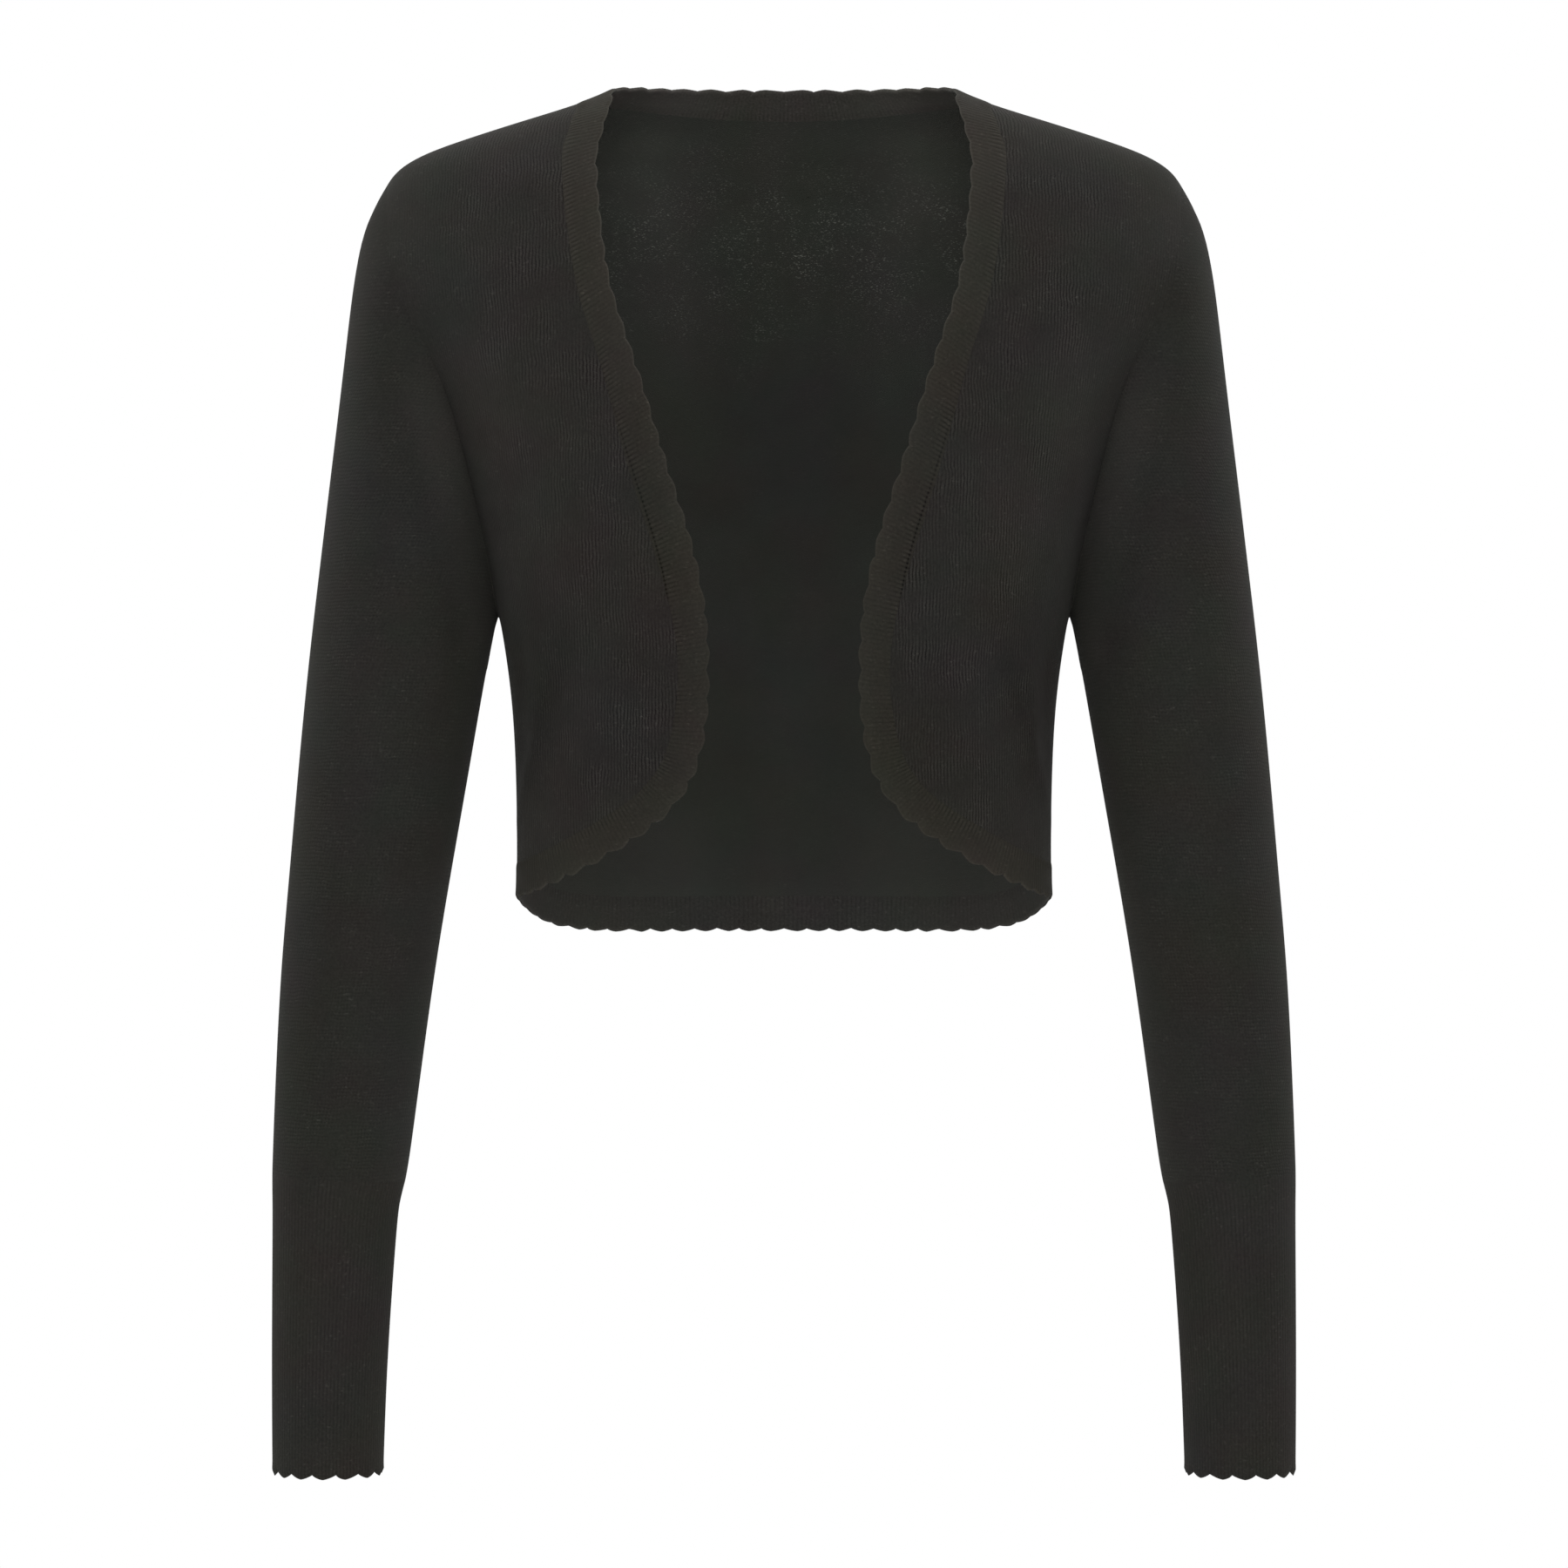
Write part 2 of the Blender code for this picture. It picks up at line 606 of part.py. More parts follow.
front_outline = outline("front", top_level, bottom_level)
back_outline = outline("back", top_level, bottom_level)
front_armhole, back_armhole = front_outline[ARMHOLE_PART], back_outline[ARMHOLE_PART]
sleeve = sleeve_rings(front_armhole, back_armhole)
body_normals = np.concatenate((form_normal(front_armhole), form_normal(back_armhole)[-2:0:-1]))
armhole = joined_seam(sleeve[0], body_normals, np.array((1, 0, 0)), grid_normals(sleeve)[0], closed=True)

front_positions = front_seam_positions((seam_shoulder, seam_side), front_outline)
neck_positions = back_seam_positions(int(seam_shoulder) + 1, -1)
hem_positions = back_seam_positions(int(seam_side), LOOP_SAMPLES)
front_seam = add_fronts(front_outline, outline_seam(front_outline, -1), front_positions)
neck_seam, hem_seam = add_back(back_outline, outline_seam(back_outline, 1), neck_positions, hem_positions)
add_sleeves_and_cuffs(sleeve, armhole)

neck_band = band_grids(
    (edge_shoulder, 0), (seam_shoulder, 0), NECK_SCALLOPS, neck_seam, neck_positions, False)
add_wall("band_neck", *map(whole, neck_band), RIB_COLOUR)
hem_band = band_grids(
    (edge_side, centre_hem), (seam_side, centre_hem), HEM_SCALLOPS, hem_seam, hem_positions, False)
add_wall("band_hem", *map(whole, hem_band), RIB_COLOUR)
front_band = band_grids(
    (edge_shoulder, edge_side), (seam_shoulder, seam_side), FRONT_SCALLOPS, front_seam, front_positions)
add_pair("band_front", *front_band, RIB_COLOUR)
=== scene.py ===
"""Looks of the cardigan: knit shells on its solids' forms, their materials, the stage, light and camera.

Lengths in the tables and in the grids are millimetres. +X is the wearer's left and the front faces -Y.
"""

from collections import namedtuple
from math import pi

import bpy
import numpy as np
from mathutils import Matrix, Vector
from mathutils.kdtree import KDTree


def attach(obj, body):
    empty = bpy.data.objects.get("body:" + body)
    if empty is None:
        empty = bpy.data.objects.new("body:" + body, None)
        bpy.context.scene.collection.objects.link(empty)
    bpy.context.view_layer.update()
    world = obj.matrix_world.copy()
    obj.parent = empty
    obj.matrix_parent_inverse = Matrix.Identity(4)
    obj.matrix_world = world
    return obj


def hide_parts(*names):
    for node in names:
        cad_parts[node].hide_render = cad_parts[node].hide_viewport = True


MM = 0.001
WALL = 1.3  # of plain knit
RIB_WALL = 2.0
RIB_LIFT = 0.28  # of a band's face over the body's cloth
RIB_RELIEF = 0.26  # from a rib's crest to its valley
RIB_PITCH = 2.0
SEAM_DEPTH = 0.02  # of the grooves at the shoulder seams and the cuffs
BAND_SEAM_DEPTH = 0.04  # of the groove where a band is linked on
OVERLAP = 0.2  # how far a band goes into the body's wall at its seam
PINCH = OVERLAP / 3  # how far each of its faces sinks there
LIP = 0.10  # share of a band's last part that rounds over to its free edge
TIP_START = 0.55  # share of a band's width from where it follows the scallops
LINKED_BY = 0.07  # shares from where a band has its full wall, on the outside and on the inside
INNER_LINKED_BY = 0.3
RAISED_BY = 0.18  # share from where its face stands over the body's cloth
FILL_TOP = 13.0  # how wide the valley at the armhole is rounded out, high up and at the armpit
FILL_PIT = 4.0
FILL_LEVELS = (-160, -236)  # where it narrows from one to the other
FILL_MOST = 7.0  # how far its cloth moves out at most
FILL_FULL_WIDTH = 6.0  # the least width that has all of it
FILL_SAMPLES = 8  # to a station of the armhole
SHOULDER_WIDTH = 8.0  # the same where they meet in a ridge
SHOULDER_MOST = 1.6
CREASE = 1.1  # how deep and how wide the crease in that valley is
CREASE_WIDTH = 2.5
CREASE_LEVELS = (-112, -150)  # where it begins, and where it is whole
NARROW = 0.05  # share of a cell that a seam's narrow border cell takes
SMALLEST = 1e-9

SHOULDER_STEPS = 24
ARMHOLE_STEPS = 70
SIDE_STEPS = 76
FRONT_COLUMNS = 64
BACK_COLUMNS = 52  # on each half
SLEEVE_ROWS = 150
CUFF_ROWS = 56
LOOP_SAMPLES = 1600
MAP_ROWS = 212
MAP_COLUMNS = 161

NECK_SCALLOPS = 7  # on each half of the back neck
FRONT_SCALLOPS = 39
HEM_SCALLOPS = 15  # on each half of the back hem
CUFF_SCALLOPS = 14
CUFF_SCALLOP_DEPTH = 2.2
CUFF_TIP = 0.93  # share of a cuff's length from where it follows the scallops
CUFF_LIP = 0.02  # share that rounds over to its free edge
NECK_RIBS = 8  # to a scallop
FRONT_RIBS = 6
HEM_RIBS = 5
CUFF_RIBS = 7
RIB_STEPS = 4
BAND_COLUMNS = np.array(
    (0, 0.025, 0.06, 0.11, 0.17, 0.24, 0.32, 0.40, 0.48, 0.56, 0.64, 0.72, 0.80, 0.86, 0.91, 0.95, 0.98, 1.0)
)

WALE = 1.6  # a stitch's width and height
COURSE = 1.25
SLEEVE_COURSE = 1.7
KNIT_MIDDLE = 0.6  # the heights, from 0 to 1, that have the cloth's plain tone
RIB_MIDDLE = 0.66
RIB_BUMP = 0.1
STRIP = (14.5, 2.4)  # where the ribs show more beside a band's seam: from the free edge, and how wide
LINKING = (16.6, 0.45)  # and where the line of its linking runs
NOISE_RANGE = (0.3, 0.7)

# Colours of the cloth. The inside's colour is paler than the knit's, partly as the purl side's own face and
# partly as painted light on the inside. The neck band's inside colour is a still paler copy of the rib's
# inside:
# painted light where light from above reaches the back neck.
KNIT = (0.01075, 0.0105, 0.0093, 1.0)
BAND = (0.0118, 0.0109, 0.0090, 1.0)
CUFF_TONE = (0.0119, 0.0113, 0.0101, 1.0)
INSIDE = (0.0136, 0.0140, 0.0123, 1.0)
NECK_INSIDE_PAINTED_LIGHT = (0.0235, 0.0220, 0.0197, 1.0)
HEM_INSIDE = (0.0149, 0.0145, 0.0131, 1.0)

# Stage and camera, in metres.
FLOOR_LEVEL = -1.45
FLOOR_RADIUS = 5.0
VIEW_DISTANCE = 3.0
VIEW_LEVEL = -0.328
LENS = 146.34
SENSOR = 36.0

Loop = namedtuple("Loop", "edge seam tuck scallop length")


def table(names, *rows):
    """Columns by name, from one row per section."""
    return dict(zip(names.split(), np.array(rows, float).T))


# The same sections as the solids.
BODY = table(
    "level half_width front back fullness",
    (12, 42.0, 22, 40, 0.00),
    (6, 62.0, 26, 45, 0.00),
    (0, 77.5, 30, 50, 0.01),
    (-8, 97.0, 35, 56, 0.02),
    (-16, 122.0, 40, 61, 0.03),
    (-24, 147.0, 45, 65, 0.03),
    (-32, 168.5, 50, 69, 0.04),
    (-39, 180.0, 55, 72, 0.05),
    (-46, 185.4, 60, 75, 0.06),
    (-60, 189.5, 68, 79, 0.07),
    (-80, 190.5, 78, 84, 0.08),
    (-100, 186.5, 86, 87, 0.09),
    (-122, 174.0, 93, 88, 0.10),
    (-146, 161.0, 99, 88, 0.11),
    (-172, 151.5, 104, 87, 0.12),
    (-205, 142.5, 107, 84, 0.12),
    (-246, 134.3, 105, 79, 0.11),
    (-287, 128.3, 98, 73, 0.10),
    (-328, 126.0, 91, 69, 0.09),
    (-369, 125.7, 88, 68, 0.09),
    (-410, 127.0, 88, 70, 0.09),
)

OPENING = table(
    "around level width tuck scallop",
    (2.000, 4.0, 17.5, 0, 1.1),
    (1.820, 3.9, 17.5, 0, 1.1),
    (1.640, 3.5, 17.5, 0, 1.1),
    (1.430, 2.8, 17.5, 0, 1.1),
    (1.200, 1.8, 18.5, 0, 1.1),
    (1.000, -0.2, 19.5, 0, 1.0),
    (0.790, -3.2, 18.5, 0, 1.0),
    (0.610, -8.2, 17.5, 0, 1.0),
    (0.450, -17.0, 17.0, 0, 1.0),
    (0.325, -33.2, 17.0, 0, 1.0),
    (0.282, -56.0, 16.5, 0, 1.0),
    (0.262, -88.0, 16.0, 0, 1.1),
    (0.249, -121.0, 16.0, 0, 1.2),
    (0.229, -157.0, 17.5, 0, 1.3),
    (0.194, -197.0, 18.5, 0, 1.4),
    (0.164, -232.0, 17.5, 2, 1.4),
    (0.156, -272.0, 14.0, 6, 1.4),
    (0.167, -302.0, 15.0, 5, 1.6),
    (0.196, -325.0, 16.5, 2, 1.9),
    (0.262, -343.0, 17.0, 0, 2.2),
    (0.355, -355.5, 17.0, 0, 2.2),
    (0.453, -364.5, 17.0, 0, 2.2),
    (0.586, -373.0, 17.0, 0, 2.1),
    (0.740, -378.8, 17.0, 0, 1.6),
    (0.900, -381.0, 17.0, 0, 0.8),
    (1.050, -382.8, 17.0, 0, 0.4),
    (1.190, -388.3, 17.0, 0, 0.4),
    (1.344, -394.8, 17.0, 0, 0.8),
    (1.520, -398.3, 17.0, 0, 1.2),
    (1.760, -398.9, 17.0, 0, 1.4),
    (2.000, -398.9, 17.0, 0, 1.4),
)

ARMHOLE = table(
    "share level front back",
    (0.00, -46.0, 0.0, 0.0),
    (0.08, -50.0, 10.5, 10.0),
    (0.18, -62.0, 20.0, 19.0),
    (0.32, -86.0, 29.5, 28.0),
    (0.46, -115.0, 34.0, 32.0),
    (0.60, -150.0, 29.0, 28.0),
    (0.74, -186.0, 20.5, 20.0),
    (0.87, -219.0, 12.5, 12.5),
    (0.96, -241.0, 5.5, 5.5),
    (1.00, -246.0, 0.0, 0.0),
)

SLEEVE = table(
    "outer_x outer_level inner_x inner_level depth forward hold",
    (185.4, -46.0, 134.30, -246.0, 31.0, 0.0, 1.00),
    (189.3, -52.0, 134.55, -247.3, 34.5, 0.0, 0.80),
    (193.7, -60.5, 134.85, -248.8, 38.0, 0.0, 0.60),
    (198.3, -74.0, 135.20, -250.5, 41.5, 0.0, 0.42),
    (202.4, -96.0, 135.80, -253.2, 44.5, 0.0, 0.26),
    (206.0, -124.0, 136.50, -257.0, 46.5, 0.5, 0.14),
    (209.8, -156.0, 137.30, -261.2, 47.5, 1.0, 0.06),
    (213.9, -190.0, 138.30, -266.5, 48.0, 1.5, 0.02),
    (218.4, -228.0, 139.60, -273.5, 47.0, 2.0, 0.00),
    (223.2, -270.0, 141.40, -282.5, 45.5, 2.5, 0.00),
    (228.0, -320.0, 149.60, -330.0, 43.0, 4.0, 0.00),
    (232.4, -372.0, 158.20, -380.0, 40.0, 6.0, 0.00),
    (236.0, -418.0, 165.20, -425.0, 37.5, 8.0, 0.00),
    (238.3, -465.0, 171.40, -471.0, 35.0, 10.0, 0.00),
    (239.4, -496.0, 175.40, -501.0, 33.3, 11.5, 0.00),
    (239.8, -510.0, 177.60, -514.0, 32.5, 12.0, 0.00),
)

CUFF = table(
    "outer_x outer_level inner_x inner_level depth forward",
    (239.8, -510.0, 177.60, -514.0, 32.5, 12.0),
    (239.7, -520.0, 179.90, -523.0, 31.0, 12.3),
    (239.6, -540.0, 182.00, -542.0, 29.8, 13.0),
    (239.7, -596.0, 185.60, -596.5, 28.0, 15.0),
    (239.3, -651.0, 187.60, -651.0, 26.8, 17.0),
)

# Soft folds: a line from one point to another near the cloth, the fold's width, and how far the cloth moves
# out, or in where that is below zero.
FOLDS = table(
    "x0 y0 z0 x1 y1 z1 width move",
    (138, -55, -205, 92, -100, -168, 11, -1.6),
    (136, -62, -222, 84, -105, -214, 12, 1.3),
    (-138, -55, -209, -96, -100, -160, 12, -1.4),
    (-136, -62, -226, -80, -105, -222, 11, 1.4),
    (120, -62, -300, 70, -98, -268, 12, -1.0),
    (-121, -62, -292, -74, -98, -270, 13, -1.2),
    (118, -66, -352, 76, -88, -330, 12, 1.0),
    (-118, -66, -346, -70, -88, -332, 11, 0.9),
    (128, 40, -235, 60, 82, -205, 15, -1.8),
    (-128, 40, -228, -56, 82, -212, 14, -1.6),
    (118, 46, -318, 20, 74, -298, 13, 1.5),
    (-118, 46, -326, -14, 74, -306, 14, 1.3),
    (112, 48, -348, 8, 70, -336, 12, -1.4),
    (-112, 48, -344, -30, 70, -340, 12, -1.2),
    (58, 70, -40, 20, 88, -110, 16, 1.2),
    (-58, 70, -42, -24, 88, -104, 15, 1.1),
    (150, -36, -262, 196, -44, -236, 10, -1.3),
    (-150, -36, -258, -192, -44, -240, 11, -1.4),
    (152, 40, -264, 200, 46, -236, 11, -1.4),
    (-152, 40, -268, -198, 46, -244, 10, -1.3),
    (158, -40, -362, 214, -44, -340, 10, -1.2),
    (162, -36, -386, 208, -42, -376, 9, 1.0),
    (-158, -40, -350, -212, -44, -336, 10, -1.1),
    (-162, -36, -378, -210, -42, -360, 10, 1.0),
    (160, 30, -370, 222, 34, -352, 11, -1.6),
    (-160, 30, -360, -220, 34, -346, 11, -1.5),
    (109, -61, -258, 114, -45, -312, 7, 1.4),
    (114, -45, -312, 125, -15, -346, 7, 1.1),
    (121, -45, -255, 124, -28, -315, 9, -1.4),
    (-109, -61, -262, -114, -45, -312, 7, 1.3),
    (-114, -45, -312, -125, -15, -346, 7, 1.1),
    (-121, -45, -260, -124, -28, -315, 9, -1.3),
    (178, -34, -488, 226, -36, -480, 8, 0.9),
    (-178, -34, -482, -224, -36, -486, 8, 1.0),
    (180, 16, -478, 228, 18, -488, 9, 1.1),
    (-180, 16, -486, -228, 18, -478, 9, 1.0),
)


# Curves and vectors


def curve(at, knots, values):
    """Smooth curve through the values at the knots, read at the given places."""
    if knots[0] > knots[-1]:
        knots, values = knots[::-1], values[::-1]
    span = np.diff(knots)
    system = np.eye(len(knots))
    bend = np.zeros_like(values)
    for k in range(1, len(knots) - 1):
        system[k, k - 1 : k + 2] = span[k - 1], 2 * (span[k - 1] + span[k]), span[k]
        bend[k] = 6 * ((values[k + 1] - values[k]) / span[k] - (values[k] - values[k - 1]) / span[k - 1])
    bend = np.linalg.solve(system, bend)
    k = np.clip(np.searchsorted(knots, at) - 1, 0, len(span) - 1)
    before = (knots[k + 1] - at) / span[k]
    after = (at - knots[k]) / span[k]
    straight = before * values[k] + after * values[k + 1]
    return straight + ((before**3 - before) * bend[k] + (after**3 - after) * bend[k + 1]) * span[k] ** 2 / 6


def unit(vectors):
    length = np.linalg.norm(vectors, axis=-1, keepdims=True)
    return vectors / np.maximum(length, SMALLEST)


def dot(a, b):
    return np.sum(a * b, axis=-1, keepdims=True)


def pick(rows, position):
    """Rows of an array at fractional positions."""
    steps = np.arange(len(rows))
    return np.stack([np.interp(position, steps, column) for column in rows.T], axis=-1)


def length_along(points):
    return np.concatenate(([0.0], np.cumsum(np.linalg.norm(np.diff(points, axis=0), axis=1))))


def even_positions(length, first, last, count):
    """Positions that cut a stretch of a line in equal lengths."""
    steps = np.arange(len(length))
    ends = np.interp((first, last), steps, length)
    return np.interp(np.linspace(*ends, count + 1), length, steps)


def even_line(chart, count):
    length = length_along(form_point(chart))
    return pick(chart, even_positions(length, 0, len(chart) - 1, count))


def mirrored(points):
    return points * (-1, 1, 1)


def whole(half):
    """A grid over both halves, from a half's grid whose last column is the centre line."""
    return np.concatenate((half, mirrored(half[:, -2::-1])), axis=1)


def whole_map(half):
    """The same for a pair of numbers at each point, the first of which counts from the centre line."""
    return np.concatenate((half, (half * (-1, 1))[:, -2::-1]), axis=1)


def smooth_step(low, high, value):
    t = np.clip((value - low) / (high - low), 0, 1)
    return t * t * (3 - 2 * t)


def waves(position, seed):
    """Slow uneven waves from -1 to 1 along a line, for places where a rib shows more or less."""
    dice = np.random.default_rng(seed)
    total = np.zeros_like(position, dtype=float)
    for octave in range(4):
        total += np.sin(position * (0.9 + 0.8 * octave) + dice.uniform(0, 2 * pi)) / (octave + 1)
    return total / 2.1


# The body's form


def form_point(chart):
    """Points of the body's form, from (around, level) pairs."""
    around, level = chart[..., 0], chart[..., 1]
    half_width, front, back, fullness = (
        curve(level, BODY["level"], BODY[name]) for name in ("half_width", "front", "back", "fullness")
    )
    turn = around * pi / 2
    depth = np.where(around < 1, front, back)
    x = half_width * np.sin(turn) * (1 + fullness * np.cos(turn) ** 2)
    y = -depth * np.cos(turn) * (1 + fullness * np.sin(turn) ** 2)
    return np.stack((x, y, level), axis=-1)


def form_slopes(chart):
    slopes = []
    for step in ((0.002, 0.0), (0.0, 0.2)):
        ahead, behind = form_point(chart + step), form_point(chart - np.array(step))
        slopes.append((ahead - behind) / (2 * sum(step)))
    return slopes


def form_normal(chart):
    around_slope, level_slope = form_slopes(chart)
    return unit(np.cross(around_slope, level_slope))


def step_across(chart, run, distance, steps=6):
    """Moves points over the form, square to their run, to the cloth's side of it."""
    for _ in range(steps):
        around_slope, level_slope = form_slopes(chart)
        side = np.cross(unit(np.cross(around_slope, level_slope)), run) * distance / steps
        pairs = ((around_slope, around_slope), (level_slope, level_slope), (around_slope, level_slope))
        aa, bb, ab = (np.sum(p * q, axis=-1) for p, q in pairs)
        sa, sb = np.sum(around_slope * side, axis=-1), np.sum(level_slope * side, axis=-1)
        determinant = aa * bb - ab**2
        chart = chart + np.stack((sa * bb - sb * ab, sb * aa - sa * ab), axis=-1) / determinant[..., None]
    return chart


def around_at_depth(level, depth, limit):
    fullness = curve(level, BODY["level"], BODY["fullness"])
    low, high = np.zeros_like(level), np.ones_like(level)
    for _ in range(50):
        middle = (low + high) / 2
        turn = middle * pi / 2
        deeper = limit * np.cos(turn) * (1 + fullness * np.sin(turn) ** 2) > depth
        low, high = np.where(deeper, middle, low), np.where(deeper, high, middle)
    return middle


def trace_opening():
    """The opening's edge and the band's seam on one half, finely sampled."""
    knots = np.stack((OPENING["around"], OPENING["level"]), axis=-1)
    rough = length_along(form_point(knots))
    at = np.linspace(0, rough[-1], LOOP_SAMPLES)
    around, level, width, tuck, scallop = (
        curve(at, rough, OPENING[name]) for name in ("around", "level", "width", "tuck", "scallop")
    )
    edge = np.stack((around, level), axis=-1)
    points = form_point(edge)
    run = unit(np.gradient(points, axis=0))
    seam = step_across(edge, run, width[:, None])
    seam[[0, -1], 0] = 2.0
    return Loop(edge, seam, tuck, scallop, length_along(points))


def side_crossings(chart):
    """Positions where a line round the half passes the shoulder seam and the side seam."""
    before = np.flatnonzero(np.diff(np.sign(chart[:, 0] - 1)))[[0, -1]]
    share = (1 - chart[before, 0]) / (chart[before + 1, 0] - chart[before, 0])
    return before + share


def fabric_map(chart):
    """How far each point lies along its course from the centre line, and down its wale, in millimetres."""
    around = np.linspace(0, 2, MAP_COLUMNS)
    level = np.linspace(BODY["level"][0], BODY["level"][-1], MAP_ROWS)
    points = form_point(np.stack(np.meshgrid(around, level), axis=-1))
    across = np.cumsum(np.linalg.norm(np.diff(points, axis=1, prepend=points[:, :1]), axis=-1), axis=1)
    down = np.cumsum(np.linalg.norm(np.diff(points, axis=0, prepend=points[:1]), axis=-1), axis=0)
    column = chart[..., 0] / around[1]
    row = (chart[..., 1] - level[0]) / (level[1] - level[0])
    i, j = np.clip(row.astype(int), 0, MAP_ROWS - 2), np.clip(column.astype(int), 0, MAP_COLUMNS - 2)
    r, c = row - i, column - j
    read = []
    for values in (across, down):
        upper = values[i, j] * (1 - c) + values[i, j + 1] * c
        lower = values[i + 1, j] * (1 - c) + values[i + 1, j + 1] * c
        read.append(upper * (1 - r) + lower * r)
    whole_course = np.interp(row, np.arange(MAP_ROWS), across[:, -1])
    read[0] = np.where(chart[..., 0] > 1, read[0] - whole_course, read[0])
    return np.stack(read, axis=-1)


# Shells


def fold_move(points):
    """How far the folds move each point in or out."""
    total = np.zeros(points.shape[:-1])
    for x0, y0, z0, x1, y1, z1, width, move in zip(*FOLDS.values()):
        first, last = np.array((x0, y0, z0)), np.array((x1, y1, z1))
        run = last - first
        along = np.clip((points - first) @ run / (run @ run), 0, 1)
        away = np.linalg.norm(points - first - along[..., None] * run, axis=-1)
        total += move * np.exp(-((away / width) ** 2)) * (1 - 0.55 * along)
    return total[..., None]


def grid_normals(points):
    """Outward normals of a tube's grid of rings."""
    round_ring = np.roll(points, -1, axis=1) - np.roll(points, 1, axis=1)
    down = np.gradient(points, axis=0)
    return unit(np.cross(round_ring, down))


def narrow_borders(grid, ring, free):
    """The grid with one more line close to each seam, so that its shading stays even right up to the seam."""
    lines = [grid[:1], grid[:1] + NARROW * (grid[1:2] - grid[:1]), grid[1:-1]]
    if not free:
        lines.append(grid[-1:] + NARROW * (grid[-2:-1] - grid[-1:]))
    grid = np.concatenate((*lines, grid[-1:]))
    if ring:
        return grid
    return np.swapaxes(narrow_borders(np.swapaxes(grid, 0, 1), True, False), 0, 1)


def cells(grid):
    """The four corners of each cell of a grid of numbers."""
    return np.stack((grid[:-1, :-1], grid[1:, :-1], grid[1:, 1:], grid[:-1, 1:]), axis=-1).reshape(-1, 4)


def add_shell(name, outer, inner, fabric, ring=False, free=False):
    """A closed shell between two grids of points, with the fabric's own coordinates as its texture map.

    free: whether the last row is a free edge, which looks round; the other edges are seams.
    """
    outer, inner, fabric = (narrow_borders(grid, ring, free) for grid in (outer, inner, fabric))
    moved = unit(outer - inner) * fold_move(outer)
    points = np.stack((outer + moved, inner + moved))
    number = np.arange(points[..., 0].size).reshape(points.shape[:3])
    if ring:
        number = np.concatenate((number, number[:, :, :1]), axis=2)
    place = np.arange(fabric[..., 0].size).reshape(fabric.shape[:2])
    faces = [cells(number[0]), cells(number[1])[:, ::-1]]
    places = [cells(place), cells(place)[:, ::-1]]
    looks = [(0, True)] * len(faces[0]) + [(1, True)] * len(faces[1])
    edges = [(number[:, 0], place[0], 1, False), (number[:, -1], place[-1], -1, free)]
    if not ring:
        edges += [(number[:, :, 0], place[:, 0], -1, False), (number[:, :, -1], place[:, -1], 1, False)]
    for line, line_place, turn, soft in edges:
        faces.append(cells(line.T)[:, ::turn])
        places.append(cells(np.stack((line_place, line_place), axis=-1))[:, ::turn])
        looks += [(0, soft)] * len(faces[-1])
    faces, places, points = np.concatenate(faces), np.concatenate(places), points.reshape(-1, 3)
    a, b, c, d = points[faces].transpose(1, 0, 2)
    if np.sum(dot(a, np.cross(b, c))) + np.sum(dot(a, np.cross(c, d))) < 0:
        faces, places = faces[:, ::-1], places[:, ::-1]

    mesh = bpy.data.meshes.new(name)
    mesh.from_pydata((points * MM).tolist(), [], faces.tolist())
    maps = fabric.reshape(-1, 2)[places]
    mesh.uv_layers.new(name="fabric").data.foreach_set("uv", (maps * MM).ravel())
    sides, smooth = zip(*looks)
    mesh.polygons.foreach_set("material_index", sides)
    mesh.polygons.foreach_set("use_smooth", smooth)
    piece = bpy.data.objects.new(name, mesh)
    bpy.context.scene.collection.objects.link(piece)
    return piece


def dress(piece, node, slot, outside, inside, flat, area, held="draped"):
    """Gives a piece its materials, attaches it to the root and hides the solid it stands for."""
    piece.data.materials.append(outside)
    piece.data.materials.append(inside)
    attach(piece, "root")
    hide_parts(node)


def add_pair(name, outer, inner, fabric, ring=False, free=False):
    left = add_shell(f"{name}_left_knit", outer, inner, fabric, ring, free)
    right = add_shell(f"{name}_right_knit", mirrored(outer), mirrored(inner), fabric, ring, free)
    return left, right


def dress_pair(pieces, node, *looks):
    for piece, side in zip(pieces, ("left", "right")):
        dress(piece, f"{node}_{side}", *looks)


# Pieces


def armhole_line(side):
    share = np.linspace(0, 1, 400)
    level, depth = (curve(share, ARMHOLE["share"], ARMHOLE[name]) for name in ("level", side))
    around = around_at_depth(level, np.maximum(depth, 0), curve(level, BODY["level"], BODY[side]))
    if side == "back":
        around = 2 - around
    around[[0, -1]] = 1.0
    return even_line(np.stack((around, level), axis=-1), ARMHOLE_STEPS)


def seam_line(first_level, last_level, count):
    level = np.linspace(first_level, last_level, count + 1)
    return np.stack((np.ones_like(level), level), axis=-1)


def outline(side, top_level, bottom_level):
    """A panel's outer outline: shoulder seam, armhole and side seam."""
    armhole = armhole_line(side)
    shoulder = seam_line(top_level, armhole[0, 1], SHOULDER_STEPS)
    side_seam = seam_line(armhole[-1, 1], bottom_level, SIDE_STEPS)
    return np.concatenate((shoulder[:-1], armhole, side_seam[1:]))


def finer_to_start(count):
    """Shares of a panel's width from 0 to 1, closer together near 0, for the side at the armhole."""
    even = np.linspace(0, 1, count + 1)
    return even * (0.4 + 0.6 * even)


def panel_grids(chart, *grooves):
    """A panel's outer and inner grids and its fabric map, with grooves of given depths along its seams."""
    plain, normals = form_point(chart), form_normal(chart)
    outer = plain + fill(plain)
    inner = outer - WALL * normals
    for depth, border in grooves:
        outer[border] -= depth * normals[border]
    return outer, inner, fabric_map(chart)


